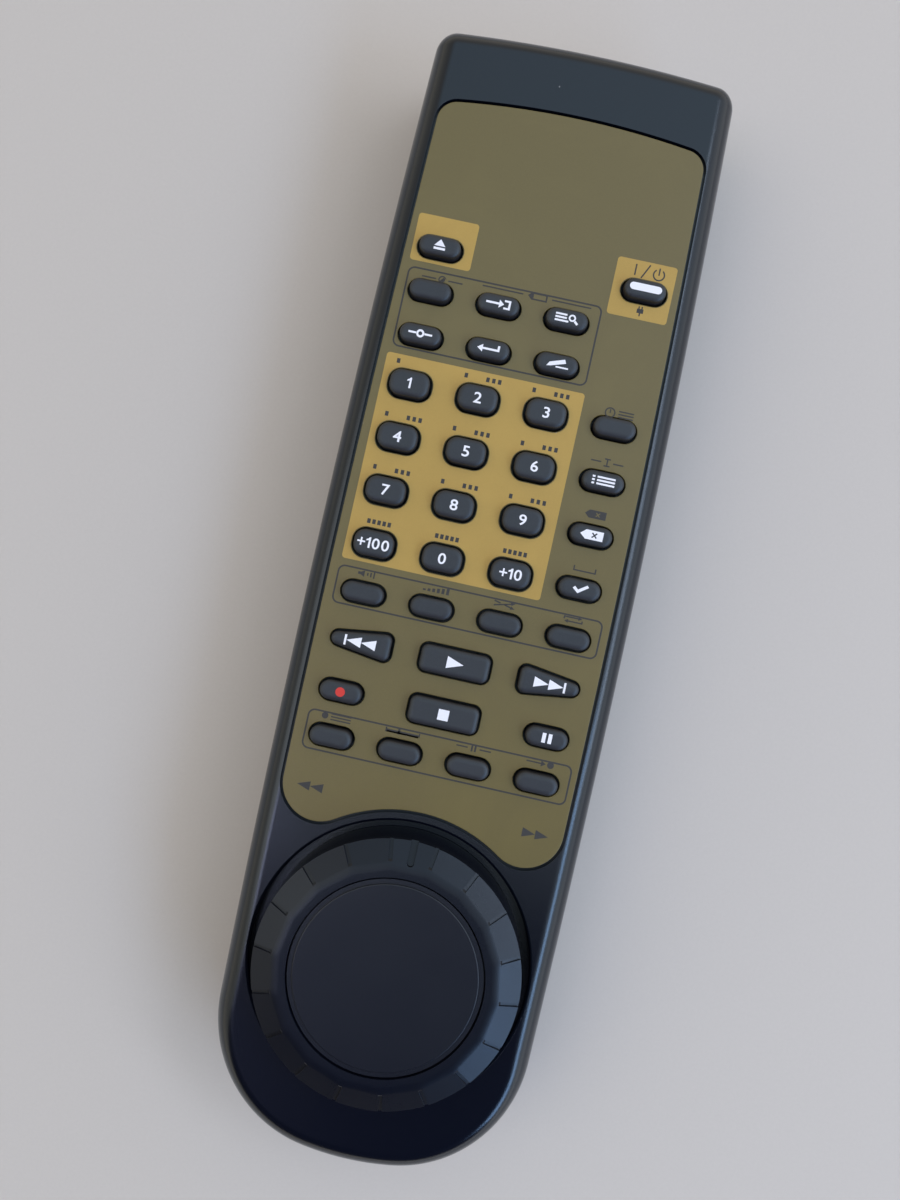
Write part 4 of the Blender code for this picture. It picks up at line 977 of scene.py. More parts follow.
# White and red prints on the keys, in millimetres from the key's middle
keyPrints = {
    "eject_key": ("whiteInk", [[(-1.05, -0.20), (1.05, -0.20), (0.0, 1.05)],
                               bar(-1.05, -0.88, 1.05, -0.46)]),
    "power_key": ("whiteInk", [pill(-2.95, -0.48, 2.95, 0.87)]),
    "play_key": ("whiteInk", [[(-1.45, -1.10), (1.65, 0.0), (-1.45, 1.10)]]),
    "stop_key": ("whiteInk", [bar(-0.98, -0.98, 0.98, 0.98)]),
    "pause_key": ("whiteInk", [bar(-0.90, -0.88, -0.22, 0.88), bar(0.22, -0.88, 0.90, 0.88)]),
    "record_key": ("redInk", [("ring", 0.0, 0.0, 0.86, 0.0)]),
    "skip_back_key": ("whiteInk", [bar(-3.0, -0.95, -2.62, 0.95), [(-2.6, 0.0), (0.1, -0.95), (0.1, 0.95)],
                                   [(0.1, 0.0), (2.8, -0.95), (2.8, 0.95)]]),
    "skip_forward_key": ("whiteInk", [bar(2.62, -0.95, 3.0, 0.95), [(2.6, 0.0), (-0.1, 0.95), (-0.1, -0.95)],
                                      [(-0.1, 0.0), (-2.8, 0.95), (-2.8, -0.95)]]),
    "number_1_key": ("whiteInk", [numeralOne]),
    "input_key": ("whiteInk", [bar(-2.3, -0.19, 0.1, 0.19), [(0.1, -0.72), (1.0, 0.0), (0.1, 0.72)],
                               [(1.0, -0.85), (2.2, -0.85), (2.2, 0.85), (1.0, 0.85), (1.0, 0.50),
                                (1.82, 0.50), (1.82, -0.50), (1.0, -0.50)]]),
    "search_key": ("whiteInk", [("ring", 0.9, 0.18, 0.66, 0.36), stroke((1.42, -0.30), (2.0, -0.82), 0.42),
                                bar(-2.2, 0.42, -0.1, 0.76), bar(-2.2, -0.17, -0.1, 0.17),
                                bar(-2.2, -0.76, 0.3, -0.42)]),
    "set_key": ("whiteInk", [bar(-2.2, -0.18, -0.78, 0.18), ("ring", 0.0, 0.0, 0.74, 0.36),
                             bar(0.78, -0.18, 2.2, 0.18)]),
    "enter_key": ("whiteInk", [[(-2.1, -0.15), (-1.1, -0.85), (-1.1, -0.34), (2.0, -0.34), (2.0, 0.75),
                                (1.6, 0.75), (1.6, 0.04), (-1.1, 0.04), (-1.1, 0.55)]]),
    "edit_key": ("whiteInk", [[(-1.9, -0.80), (-1.42, -0.02), (1.25, 0.88), (1.55, 0.18), (-1.15, -0.68)],
                              bar(-0.2, -0.84, 2.1, -0.56)]),
    "program_key": ("whiteInk", [bar(-2.1, 0.44, -1.6, 0.78), bar(-1.2, 0.44, 2.1, 0.78),
                                 bar(-2.1, -0.17, -1.6, 0.17), bar(-1.2, -0.17, 2.1, 0.17),
                                 bar(-2.1, -0.78, -1.6, -0.44), bar(-1.2, -0.78, 2.1, -0.44)]),
    "clear_key": ("whiteInk", [[(-2.1, 0.0), (-1.1, 0.85), (2.1, 0.85), (2.1, -0.85), (-1.1, -0.85)],
                               cross(0.5, 0.0, 0.62, 0.26, pi / 4)]),
    "check_key": ("whiteInk", [[(-1.3, 0.02), (-0.92, 0.40), (-0.30, -0.15), (1.25, 0.90), (1.58, 0.52),
                                (-0.28, -0.82)]]),
}
keyDigits = {"number_%d_key" % digit: str(digit) for digit in range(10) if digit != 1}
printLift = 0.000012

# Dark prints on the fascia, in millimetres: place, then outlines round it
fasciaMarks = {
    "powerBar": (16.70, 65.95, [bar(-0.13, -1.03, 0.13, 1.03), stroke((1.25, -1.35), (2.52, 1.30), 0.26)]),
    "plug": (19.08, 58.65, [bar(-0.60, -0.45, 0.60, 0.35), bar(-0.40, 0.35, -0.16, 0.80),
                            bar(0.16, 0.35, 0.40, 0.80), bar(-0.12, -1.0, 0.12, -0.45)]),
    "cancel": (-17.46, 56.6, [("ring", 0.0, 0.0, 0.72, 0.50), stroke((-0.40, -0.40), (0.40, 0.40), 0.22),
                              bar(-3.8, -0.12, -1.15, 0.12), bar(1.15, -0.12, 3.8, 0.12)]),
    "title": (0.31, 57.2, [[(-1.8, 0.0), (-1.1, 0.68), (1.8, 0.68), (1.8, -0.68), (-1.1, -0.68)],
                           bar(-0.75, -0.42, 1.54, 0.42)]),
    "titleLines": (0.0, 57.2, [bar(-10.0, -0.12, -2.4, 0.12), bar(3.0, -0.12, 10.3, 0.12)]),
    "time": (19.3, 39.3, [("ring", -1.55, 0.0, 0.98, 0.74), bar(-1.66, -0.05, -1.44, 0.62),
                          bar(-1.66, -0.11, -1.05, 0.11), bar(0.0, 0.42, 2.8, 0.66),
                          bar(0.0, -0.12, 2.8, 0.12), bar(0.0, -0.66, 2.8, -0.42)]),
    "character": (19.2, 30.2, [bar(-0.12, -0.52, 0.12, 0.52), bar(-0.55, 0.52, 0.55, 0.76),
                               bar(-0.55, -0.76, 0.55, -0.52), bar(-3.0, -0.12, -1.1, 0.12),
                               bar(1.1, -0.12, 3.0, 0.12)]),
    "delete": (19.3, 20.5, [[(-2.1, 0.0), (-1.3, 0.74), (1.8, 0.74), (1.8, -0.74), (-1.3, -0.74)],
                            cross(0.30, 0.0, 0.50, 0.20, pi / 4)]),
    "space": (19.4, 10.3, [[(-2.1, 0.45), (-2.1, -0.50), (2.1, -0.50), (2.1, 0.45), (1.86, 0.45),
                            (1.86, -0.26), (-1.86, -0.26), (-1.86, 0.45)]]),
    "monitor": (-18.9, 0.92, [[(-1.9, -0.24), (-1.4, -0.24), (-0.7, -0.60), (-0.7, 0.60), (-1.4, 0.24),
                               (-1.9, 0.24)], bar(-0.25, -0.26, 0.02, 0.26), bar(0.35, -0.42, 0.62, 0.42),
                              bar(0.95, -0.58, 1.22, 0.58)]),
    "meter": (-6.1, 0.90, [bar(-2.5 + 0.86 * step, -0.55, -1.98 + 0.86 * step, -0.22 + 0.16 * step)
                           for step in range(6)]),
    "random": (6.5, 0.92, [stroke((-1.9, -0.42), (1.2, 0.32), 0.26),
                           stroke((-1.9, 0.42), (-0.75, 0.14), 0.26),
                           stroke((0.05, -0.04), (1.2, -0.32), 0.26),
                           [(1.1, 0.64), (1.3, 0.04), (2.0, 0.52)],
                           [(1.3, -0.04), (1.1, -0.64), (2.0, -0.52)]]),
    "repeat": (19.3, 0.92, [[(-1.8, -0.06), (-1.8, 0.50), (0.9, 0.50), (0.9, 0.72), (1.6, 0.38), (0.9, 0.04),
                             (0.9, 0.26), (-1.54, 0.26), (-1.54, -0.06)],
                            [(1.8, 0.06), (1.8, -0.50), (-0.9, -0.50), (-0.9, -0.72), (-1.6, -0.38),
                             (-0.9, -0.04), (-0.9, -0.26), (1.54, -0.26), (1.54, 0.06)]]),
    "recordMode": (-18.9, -25.8, [("ring", -2.1, 0.0, 0.60, 0.0), bar(-1.0, 0.40, 2.7, 0.64),
                                  bar(-1.0, -0.12, 2.7, 0.12), bar(-1.0, -0.64, 2.7, -0.40)]),
    "levelMode": (-6.5, -25.8, [bar(-3.0, -0.13, 3.0, 0.13), bar(-0.90, -0.50, -0.50, 0.50),
                                bar(-3.2, -0.42, -2.94, 0.42), bar(2.94, -0.42, 3.2, 0.42)]),
    "autoPause": (6.7, -25.8, [bar(-0.48, -0.6, -0.14, 0.6), bar(0.14, -0.6, 0.48, 0.6),
                               bar(-3.2, -0.12, -1.1, 0.12), bar(1.1, -0.12, 3.2, 0.12)]),
    "recordInput": (19.2, -25.75, [bar(-2.7, -0.12, 0.0, 0.12), [(0.0, -0.55), (0.85, 0.0), (0.0, 0.55)],
                                   ("ring", 1.75, 0.0, 0.62, 0.0)]),
    "backward": (-20.9, -38.95, [[(-2.4, 0.0), (0.0, -0.85), (0.0, 0.85)],
                                 [(0.0, 0.0), (2.4, -0.85), (2.4, 0.85)]]),
    "forward": (20.9, -38.55, [[(2.4, 0.0), (0.0, 0.85), (0.0, -0.85)],
                               [(0.0, 0.0), (-2.4, 0.85), (-2.4, -0.85)]]),
}
# Small plain marks over the number keys: one at the left and three at the right, or five in a row
keyMarks = {
    "left": [-3.0], "right": [1.05, 2.15, 3.25], "row": [-1.9, -0.95, 0.0, 0.95, 1.9], "width": 0.62,
    "height": 0.86, "rise": 4.0, "lowRow": ("number_plus_100_key", "number_0_key", "number_plus_10_key"),
}
goldBlocks = ((-18.55, 63.55, 11.3, 8.8), (18.68, 62.38, 11.1, 10.7), (-5.9, 22.32, 37.0, 38.65))
lineFrames = ((-5.8, 50.45, 36.4, 15.1), (0.15, -1.8, 49.4, 7.2), (0.45, -28.7, 49.2, 7.4))
printShape = {"blockCorner": 0.0006, "frameCorner": 0.0013, "frameWidth": 0.00030, "low": 0.00003,
              "high": 0.000014, "lift": 0.000004, "holeMargin": 0.00019, "powerRing": 1.13,
              "powerWidth": 0.26, "powerPlace": (0.02106, 0.06578)}


# Three gold blocks behind keys, three thin frames round rows, and small signs, all on the fascia's face
def makeFasciaPrints():
    top = levels["fasciaTop"]
    low = top - printShape["low"]
    prints = []
    for x, y, width, height in goldBlocks:
        discs = boxDiscs(width / 1000, height / 1000, printShape["blockCorner"])
        prints.append(standing("goldBlock", discs, 0.0, (x / 1000, y / 1000), low, top + printShape["high"]))
        coat(prints[-1], "goldInk")
    gold = joinAll(prints, "goldBlocks")
    carve(gold, keyHoles("blockHoles", printShape["holeMargin"], low - 0.0001, top + 0.0002))
    coat(gold, "goldInk")
    signs = []
    for x, y, width, height in lineFrames:
        discs = boxDiscs(width / 1000, height / 1000, printShape["frameCorner"])
        frameLine = drawBelt("frameLine", discs, 0.0, (x / 1000, y / 1000), low)
        drawIn(printShape["frameWidth"], 0.0)
        bpy.ops.mesh.delete(type="FACE")
        bpy.ops.mesh.select_all(action="SELECT")
        raiseFace(printShape["high"] + printShape["low"])
        closeMesh()
        coat(frameLine, "darkInk")
        signs.append(frameLine)
    z = top + printShape["high"] + printShape["lift"]
    for name, (x, y, outlines) in fasciaMarks.items():
        signs.append(makePrint(name, outlines, (x / 1000, y / 1000), z, "darkInk"))
    for node, place in keyPlaces.items():
        if not node.startswith("number"):
            continue
        offsets = keyMarks["left"] + (keyMarks["right"] if node != "number_1_key" else [])
        if node in keyMarks["lowRow"]:
            offsets = keyMarks["row"]
        half = keyMarks["width"] / 2
        rise = keyMarks["height"] / 2
        outlines = [bar(x - half, keyMarks["rise"] - rise, x + half, keyMarks["rise"] + rise)
                    for x in offsets]
        signs.append(makePrint("keyMarks", outlines, place, z, "darkInk"))
    signs.append(makePowerRing(printShape["powerPlace"], z))
    return [gold] + signs


# The standby sign: an open ring with a bar in its gap
def makePowerRing(place, z):
    outer = printShape["powerRing"]
    inner = outer - printShape["powerWidth"]
    turns = [pi / 2 + radians(36) + radians(288) * step / 28 for step in range(29)]
    ring = [(outer * cos(turn), outer * sin(turn)) for turn in turns]
    ring += [(inner * cos(turn), inner * sin(turn)) for turn in reversed(turns)]
    half = printShape["powerWidth"] / 2
    return makePrint("standby", [ring, bar(-half, -0.10, half, 1.25)], place, z, "darkInk")


# A plus, a one and one or two noughts side by side
def makePlusNumber(name, noughts, place, z):
    plusWidth = 1.62
    oneWidth = 1.02
    noughtWidth = 1.74
    left = -(plusWidth + oneWidth + noughtWidth * noughts) / 2
    signX = left + plusWidth / 2
    oneX = left + plusWidth + oneWidth / 2
    outlines = [cross(signX, 0.0, 0.72, 0.30), [(oneX + x * 1.05, y) for x, y in numeralOne]]
    prints = [makePrint(name + "Print", outlines, place, z, "whiteInk")]
    for index in range(noughts):
        x = (left + plusWidth + oneWidth + noughtWidth * (index + 0.5)) / 1000
        prints.append(makeNumber(name + "Nought", "0", digitHeight, (place[0] + x, place[1]), z,
                                 "whiteInk", 1.10))
    return prints


def makeKeys():
    patterns = makeKeyPatterns()
    for node in keyNodes:
        words = node.split("_")
        name = words[0] + "".join(word.capitalize() for word in words[1:])
        place = keyPlaces[node]
        key = copyTo(patterns[kindOf(node)], name, (place[0], place[1], 0.0))
        z = levels["keyTop"] + printLift
        prints = []
        if node in keyPrints:
            finish, outlines = keyPrints[node]
            prints.append(makePrint(name + "Print", outlines, place, z, finish))
        if node in keyDigits:
            prints.append(makeNumber(name + "Print", keyDigits[node], digitHeight, place, z,
                                     "whiteInk", 1.12))
        if node.startswith("number_plus"):
            prints += makePlusNumber(name, node.count("0"), place, z)
        key = joinAll([key] + prints, name)
        standIn(key, node + "_body", "key_rubber", node)
    for pattern in patterns.values():
        bpy.data.objects.remove(pattern, do_unlink=True)
    print("keys:", len(keyNodes))


# Dial: a turned ring with flat facets, notches and a pointer slot, and the cap in its middle
dialShape = {
    "radius": 0.0237, "draft": 0.0003, "crest": 0.0192, "groove": 0.0174, "capRadius": 0.0163,
    "drop": 0.0018, "bore": 0.0028, "hub": 0.0050, "wall": 0.0018, "facets": 18, "sides": 180,
    "notchWidth": 0.0007, "notchDepth": 0.0005, "notchGap": 0.0008, "notchRamp": 0.0005,
    "pointerWidth": 0.0013, "pointerDepth": 0.0008, "pointerGap": 0.0004, "capEdge": 0.00022,
    "crestSoft": 0.0009, "capRim": 0.0171, "capGroove": 0.0003, "capLift": 0.0003,
    "capDish": ((0.0030, -0.00003), (0.0040, -0.00005), (0.0045, -0.00003)), "toolReach": 0.026,
    "edge": 0.00014,
}


def makeDialRing():
    shape = dialShape
    stations = [(shape["bore"], levels["hubBase"]), (shape["hub"], levels["hubBase"]),
                (shape["hub"], levels["dialPlate"]), (shape["radius"] - shape["wall"], levels["dialPlate"]),
                (shape["radius"] - shape["wall"] + shape["draft"], levels["dialBase"]),
                (shape["radius"] + shape["draft"], levels["dialBase"]),
                (shape["radius"], levels["dialTop"]), (shape["groove"], levels["dialTop"]),
                (shape["groove"], levels["capSeat"]), (shape["bore"], levels["capSeat"])]
    ring = startPoint("dialRing", stations[0][0], dialY, stations[0][1])
    for before, after in zip(stations, stations[1:]):
        step = (after[0] - before[0], 0.0, after[1] - before[1])
        bpy.ops.mesh.extrude_region_move(TRANSFORM_OT_translate={"value": step})
    bpy.ops.mesh.select_mode(type="EDGE")
    bpy.ops.mesh.select_all(action="SELECT")
    bpy.ops.mesh.select_mode(type="VERT")
    shapeNow = bmesh.from_edit_mesh(ring.data)
    ends = [vert for vert in shapeNow.verts if len(vert.link_edges) == 1]
    bpy.ops.mesh.select_all(action="DESELECT")
    for vert in ends:
        vert.select_set(True)
    bmesh.update_edit_mesh(ring.data)
    bpy.ops.mesh.edge_face_add()
    bpy.ops.mesh.select_all(action="SELECT")
    bpy.ops.mesh.spin(steps=shape["sides"], angle=2 * pi, center=(0, dialY, 0), axis=(0, 0, 1))
    bpy.ops.mesh.select_all(action="SELECT")
    bpy.ops.mesh.remove_doubles(threshold=mergeGap)
    bpy.ops.mesh.normals_make_consistent(inside=False)
    slope = atan2(shape["drop"], shape["radius"] - shape["crest"])
    for facet in range(shape["facets"]):
        angle = pi / 2 + 2 * pi * facet / shape["facets"]
        across = Vector((cos(angle), sin(angle), 0.0))
        crest = Vector((0.0, dialY, levels["dialTop"])) + across * shape["crest"]
        normal = across * sin(slope) + Vector((0.0, 0.0, cos(slope)))
        bpy.ops.mesh.select_all(action="SELECT")
        bpy.ops.mesh.bisect(plane_co=crest, plane_no=normal, use_fill=True, clear_outer=True,
                            threshold=0.0000005)
    closeMesh()
    top = levels["dialTop"]
    softenEdges(ring, lambda edge: all(abs(vert.co.z - top) < levelGap for vert in edge.verts)
                and edge.is_manifold and radians(12) < edge.calc_face_angle(0.0) < radians(35),
                shape["crestSoft"], 5)
    notches = []
    start = shape["crest"] + shape["notchGap"]
    full = start + shape["notchRamp"]
    for facet in range(shape["facets"]):
        angle = pi / 2 + 2 * pi * (facet + 0.5) / shape["facets"]
        half = shape["notchWidth"] / 2
        notch = block("notch", (-half, start, 0.0), (half, shape["toolReach"], 0.006))
        openMesh(notch, "VERT")
        pick(notch, "verts", lambda vert: vert.co.z < 0.001)
        border = cos(pi / shape["facets"])
        startZ = levels["dialTop"] - (start * border - shape["crest"]) * tan(slope)
        endZ = levels["dialTop"] - (shape["toolReach"] * border - shape["crest"]) * tan(slope)
        shapeNow = bmesh.from_edit_mesh(notch.data)
        for vert in shapeNow.verts:
            near = vert.co.y < 0.022
            if vert.co.z < 0.001:
                vert.co.z = (startZ if near else endZ) - shape["notchDepth"]
                if near:
                    vert.co.y = full
            else:
                vert.co.z = levels["dialTop"] + overrun
                if near:
                    vert.co.y = start - 0.0016
        bmesh.update_edit_mesh(notch.data)
        closeMesh()
        notch.data.transform(Matrix.Translation((0.0, dialY, 0.0)) @ Matrix.Rotation(angle - pi / 2, 4, "Z"))
        notches.append(notch)
    carve(ring, joinAll(notches, "notches"))
    pointerStart = shape["crest"] + shape["pointerGap"] + shape["pointerWidth"] / 2
    half = shape["pointerWidth"] / 2
    discs = [(0.0, shape["toolReach"], half), (0.0, pointerStart, half)]
    pointer = standing("pointer", discs, 0.0, (0.0, dialY), levels["dialTop"] - 0.0006,
                       levels["dialTop"] + overrun)
    for vert in pointer.data.vertices:
        if vert.co.z < levels["dialTop"]:
            out = vert.co.y - dialY - shape["crest"]
            vert.co.z = levels["dialTop"] - out * tan(slope) - shape["pointerDepth"]
    carve(ring, pointer)
    applyAs(ring, "BEVEL", width=shape["edge"], segments=2, limit_method="ANGLE", angle_limit=radians(14),
            miter_outer="MITER_ARC", use_clamp_overlap=True)
    smoothOver(ring, 30)
    coat(ring, "ringPlastic")
    standIn(ring, "shuttle_dial", "dial_plastic", "shuttle_ring")
    print("dial ring:", len(ring.data.polygons), "faces")


# The cap stands in a shallow groove: a low rim round it closes the ring's inside
def makeDialCap():
    top = levels["dialTop"]
    grooveZ = top - dialShape["capGroove"]
    cap = drum("dialCap", (0.0, dialY), dialShape["capRim"], levels["capSeat"] + dialShape["capLift"], grooveZ,
               144)
    openMesh(cap)
    pick(cap, "faces", lambda face: face.normal.z > 0.9)
    drawIn(dialShape["capRim"] - dialShape["capRadius"], 0.0)
    raiseFace(top - grooveZ)
    closeMesh()
    softenEdges(cap, sharpAt(top), dialShape["capEdge"], 4)
    openMesh(cap)
    pick(cap, "faces", lambda face: face.normal.z > 0.99 and face.calc_center_median().z > top - levelGap)
    for reach, rise in dialShape["capDish"]:
        drawIn(reach, rise)
    closeMesh()
    smoothOver(cap, 30)
    coat(cap, "dialPlastic")
    standIn(cap, "shuttle_dial", "dial_plastic", "shuttle_cap")
    print("dial cap:", len(cap.data.polygons), "faces")


# Infrared window: a dark plate in a frame, flush in the head's slot
windowShape = {"halfWidth": 0.0080, "halfHeight": 0.0025, "corner": 0.0008, "flange": 0.0015,
               "flangeThickness": 0.0012, "slotHalfWidth": 0.0083, "slotHalfHeight": 0.0028,
               "slotDepth": 0.006}


def makeWindow():
    low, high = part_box("ir_window")
    plate = block("irWindow", (-windowShape["halfWidth"], low.y + windowShape["flangeThickness"] - 0.0001,
                               levels["ledAxis"] - windowShape["halfHeight"]),
                  (windowShape["halfWidth"], high.y, levels["ledAxis"] + windowShape["halfHeight"]))
    softenEdges(plate, lambda edge: abs((edge.verts[0].co - edge.verts[1].co).y) > 0.0005,
                windowShape["corner"], 5)
    softenEdges(plate, lambda edge: all(vert.co.y > high.y - levelGap for vert in edge.verts), 0.00035, 4)
    flange = block("flange", (low.x, low.y, low.z), (high.x, low.y + windowShape["flangeThickness"], high.z))
    softenEdges(flange, lambda edge: abs((edge.verts[0].co - edge.verts[1].co).y) > 0.0005, 0.0006, 3)
    carve(plate, flange, "UNION")
    smoothOver(plate, 32)
    coat(plate, "windowPlastic")
    standIn(plate, "case", "window_plastic", "ir_window")


# Screws: a domed head with a cross recess on a plain shank with a tapered tip
screwShape = {"headRadius": 0.0028, "radius": 0.0014, "sink": 0.0010, "headHeight": 0.0017,
              "length": 0.0120, "recess": 0.0008, "recessReach": 0.0017, "recessDepth": 0.0009, "edge": 0.0005,
              "recessEdge": 0.00025, "tip": 0.0012, "tipReach": 0.0006}
screwTurns = {"head": 0.35, "left": 1.05, "right": 0.7}


def makeScrews():
    headTop = screwShape["sink"] + screwShape["headHeight"]
    pattern = drum("screw", (0.0, 0.0), screwShape["headRadius"], screwShape["sink"], headTop, 48)
    openMesh(pattern)
    pick(pattern, "faces", lambda face: face.normal.z > 0.9)
    drawIn(screwShape["headRadius"] - screwShape["radius"], 0.0)
    raiseFace(screwShape["length"] - screwShape["tip"])
    drawIn(screwShape["tipReach"], screwShape["tip"])
    closeMesh()
    softenEdges(pattern, sharpAt(screwShape["sink"]), screwShape["edge"], 5)
    half = screwShape["recess"] / 2
    reach = screwShape["recessReach"]
    depth = screwShape["sink"] + screwShape["recessDepth"]
    for wide, deep in ((reach, half), (half, reach)):
        tool = block("recess", (-wide, -deep, -0.001), (wide, deep, depth))
        softenEdges(tool, lambda edge: all(vert.co.z > 0.001 for vert in edge.verts),
                    screwShape["recessEdge"], 2)
        carve(pattern, tool)
    smoothOver(pattern, 32)
    coat(pattern, "screwSteel")
    for side, place in screwPlaces.items():
        screw = copyTo(pattern, "screw" + side.capitalize(), (place[0], place[1], 0.0), screwTurns[side])
        standIn(screw, "case", "screw_steel", "case_screw_" + side)
    bpy.data.objects.remove(pattern, do_unlink=True)


# Cells: a can with rolled ends, a button, and a sleeve with a band at the button end
cellShape = {"radius": 0.0071, "length": 0.0495, "roll": 0.0006, "buttonRadius": 0.0027,
             "buttonHeight": 0.0010, "sleeveThickness": 0.00012, "band": 0.0130}


def makeCell(name, node, sign):
    low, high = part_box(node)
    can = cellShape["radius"] - cellShape["sleeveThickness"]
    bpy.ops.mesh.primitive_cylinder_add(vertices=72, radius=can,
                                        depth=cellShape["length"] - 2 * cellShape["roll"])
    cell = bpy.context.object
    openMesh(cell)
    pick(cell, "faces", lambda face: face.normal.z > 0.9)
    for reach, rise in quarterSteps(cellShape["roll"], cellShape["roll"], 4):
        drawIn(reach, rise)
    drawIn(0.0009, -0.0003)
    flat = cellShape["radius"] - 0.0016 - cellShape["buttonRadius"] - 0.0003
    bpy.ops.mesh.inset(thickness=flat, depth=0.0003)
    raiseFace(cellShape["buttonHeight"] - 0.0003)
    drawIn(0.0003, 0.0003)
    bpy.ops.mesh.select_all(action="DESELECT")
    pick(cell, "faces", lambda face: face.normal.z < -0.9)
    for reach, rise in quarterSteps(cellShape["roll"], cellShape["roll"], 4):
        drawIn(reach, rise)
    drawIn(0.0014, -0.0003)
    closeMesh()
    coat(cell, "springSteel")
    bpy.ops.mesh.primitive_cylinder_add(vertices=72, radius=cellShape["radius"], end_fill_type="NOTHING",
                                        depth=cellShape["length"] - 2 * cellShape["roll"] + 0.0002)
    sleeve = bpy.context.object
    openMesh(sleeve)
    bpy.ops.mesh.select_all(action="SELECT")
    bandZ = cellShape["length"] / 2 - cellShape["band"]
    bpy.ops.mesh.bisect(plane_co=(0, 0, bandZ), plane_no=(0, 0, 1), use_fill=False)
    closeMesh()
    applyAs(sleeve, "SOLIDIFY", thickness=cellShape["sleeveThickness"] * 2, offset=-1.0)
    coat(sleeve, "cellWrap")
    sleeve.data.materials.append(materials["cellBand"])
    for face in sleeve.data.polygons:
        face.material_index = 1 if face.center.z > bandZ else 0
    cell = joinAll([cell, sleeve], name)
    middle = (low.y + high.y) / 2 - sign * cellShape["buttonHeight"] / 2
    place = Matrix.Translation(((low.x + high.x) / 2, middle, levels["cellCentre"]))
    cell.data.transform(place @ Matrix.Rotation(-sign * pi / 2, 4, "X"))
    smoothOver(cell, 32)
    standIn(cell, "case", "cell_wrap", node)


# Springs: the wire's radius, the radii of the foot and the tip, the turns, and the height
springShapes = {"contact": (0.0004, 0.0042, 0.0024, 3.5, 0.0042),
                "return": (0.00045, 0.0118, 0.0118, 2.5, 0.00325)}
cellSide = 0.0074


# A wound spring about Z from its foot up: a round wire swept by a screw modifier, then narrowed upwards
def makeSpring(name, kind):
    wire, foot, tip, turns, height = springShapes[kind]
    bpy.ops.mesh.primitive_circle_add(vertices=12, radius=wire, location=(foot, 0, 0),
                                      rotation=(pi / 2, 0, 0))
    spring = bpy.context.object
    spring.name = name
    spring.data.name = name
    bpy.ops.object.transform_apply(location=True, rotation=True, scale=True)
    steps = round(turns * 36)
    applyAs(spring, "SCREW", axis="Z", angle=2 * pi * turns, screw_offset=height, iterations=1,
            steps=steps, render_steps=steps, use_smooth_shade=True)
    openMesh(spring, "EDGE")
    bpy.ops.mesh.select_non_manifold()
    bpy.ops.mesh.edge_face_add()
    closeMesh()
    for vert in spring.data.vertices:
        reach = hypot(vert.co.x, vert.co.y)
        middle = foot + (tip - foot) * min(max(vert.co.z / height, 0.0), 1.0)
        share = (middle + reach - foot) / reach
        vert.co.x *= share
        vert.co.y *= share
    turnOutward(spring)
    smoothOver(spring, 50)
    coat(spring, "springSteel")
    return spring


def makeSprings():
    for side, node, sign in (("Left", "contact_spring_left", 1), ("Right", "contact_spring_right", -1)):
        low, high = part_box(node)
        spring = makeSpring("contactSpring" + side, "contact")
        wire = springShapes["contact"][0]
        wall = low.y + wire if sign > 0 else high.y - wire
        place = Matrix.Translation((sign * -cellSide, wall, levels["cellCentre"]))
        spring.data.transform(place @ Matrix.Rotation(-sign * pi / 2, 4, "X"))
        standIn(spring, "case", "spring_steel", node)
    low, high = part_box("return_spring")
    spring = makeSpring("returnSpring", "return")
    spring.data.transform(Matrix.Translation((0.0, dialY, low.z + springShapes["return"][0])))
    standIn(spring, "case", "spring_steel", "return_spring")


# The frame's own solids that keep their shape get these finishes
keptNodes = {
    "circuit_board": "boardLaminate", "controller_chip": "chipResin", "key_mat": "matRubber",
    "ir_led": "ledResin", "shuttle_switch": "switchPlastic", "contact_plate_left": "springSteel",
    "contact_plate_right": "springSteel",
}


def dressKeptNodes():
    for node, finish in keptNodes.items():
        mesh = nodes[node].data
        for index in range(len(mesh.materials)):
            mesh.materials[index] = materials[finish]
        if not mesh.materials:
            mesh.materials.append(materials[finish])


makeTopShell()
makeBottomShell()
makeDoor()
fasciaPlate = joinAll([makeFascia()] + makeFasciaPrints(), "fasciaPlate")
standIn(fasciaPlate, "case", "fascia_paint", "fascia_plate")
print("fascia:", len(fasciaPlate.data.polygons), "faces")
makeKeys()
makeDialRing()
makeDialCap()
makeWindow()
makeScrews()
makeCell("cellLeft", "battery_cell_left", 1)
makeCell("cellRight", "battery_cell_right", -1)
makeSprings()
dressKeptNodes()
print("inner pieces made")


# Camera: above the key field, turned so that the head leans to the right
cameraSettings = {
    "lens": 27.0,
    "sensor": 36.0,
    "turn": (0.987, 0.897, 12.5265),
    "anchor": (0.0, 0.00655, 0.0245),
    "offset": (0.00477, 0.00605, -0.1640),
}


def makeCamera():
    turn = Euler([radians(angle) for angle in cameraSettings["turn"]], "XYZ")
    place = Vector(cameraSettings["anchor"]) - turn.to_matrix() @ Vector(cameraSettings["offset"])
    bpy.ops.object.camera_add(location=place, rotation=turn)
    camera = bpy.context.object
    camera.data.lens = cameraSettings["lens"]
    camera.data.sensor_width = cameraSettings["sensor"]
    camera.data.clip_start = 0.01
    bpy.context.scene.camera = camera
    print("camera at", [round(value, 4) for value in place])


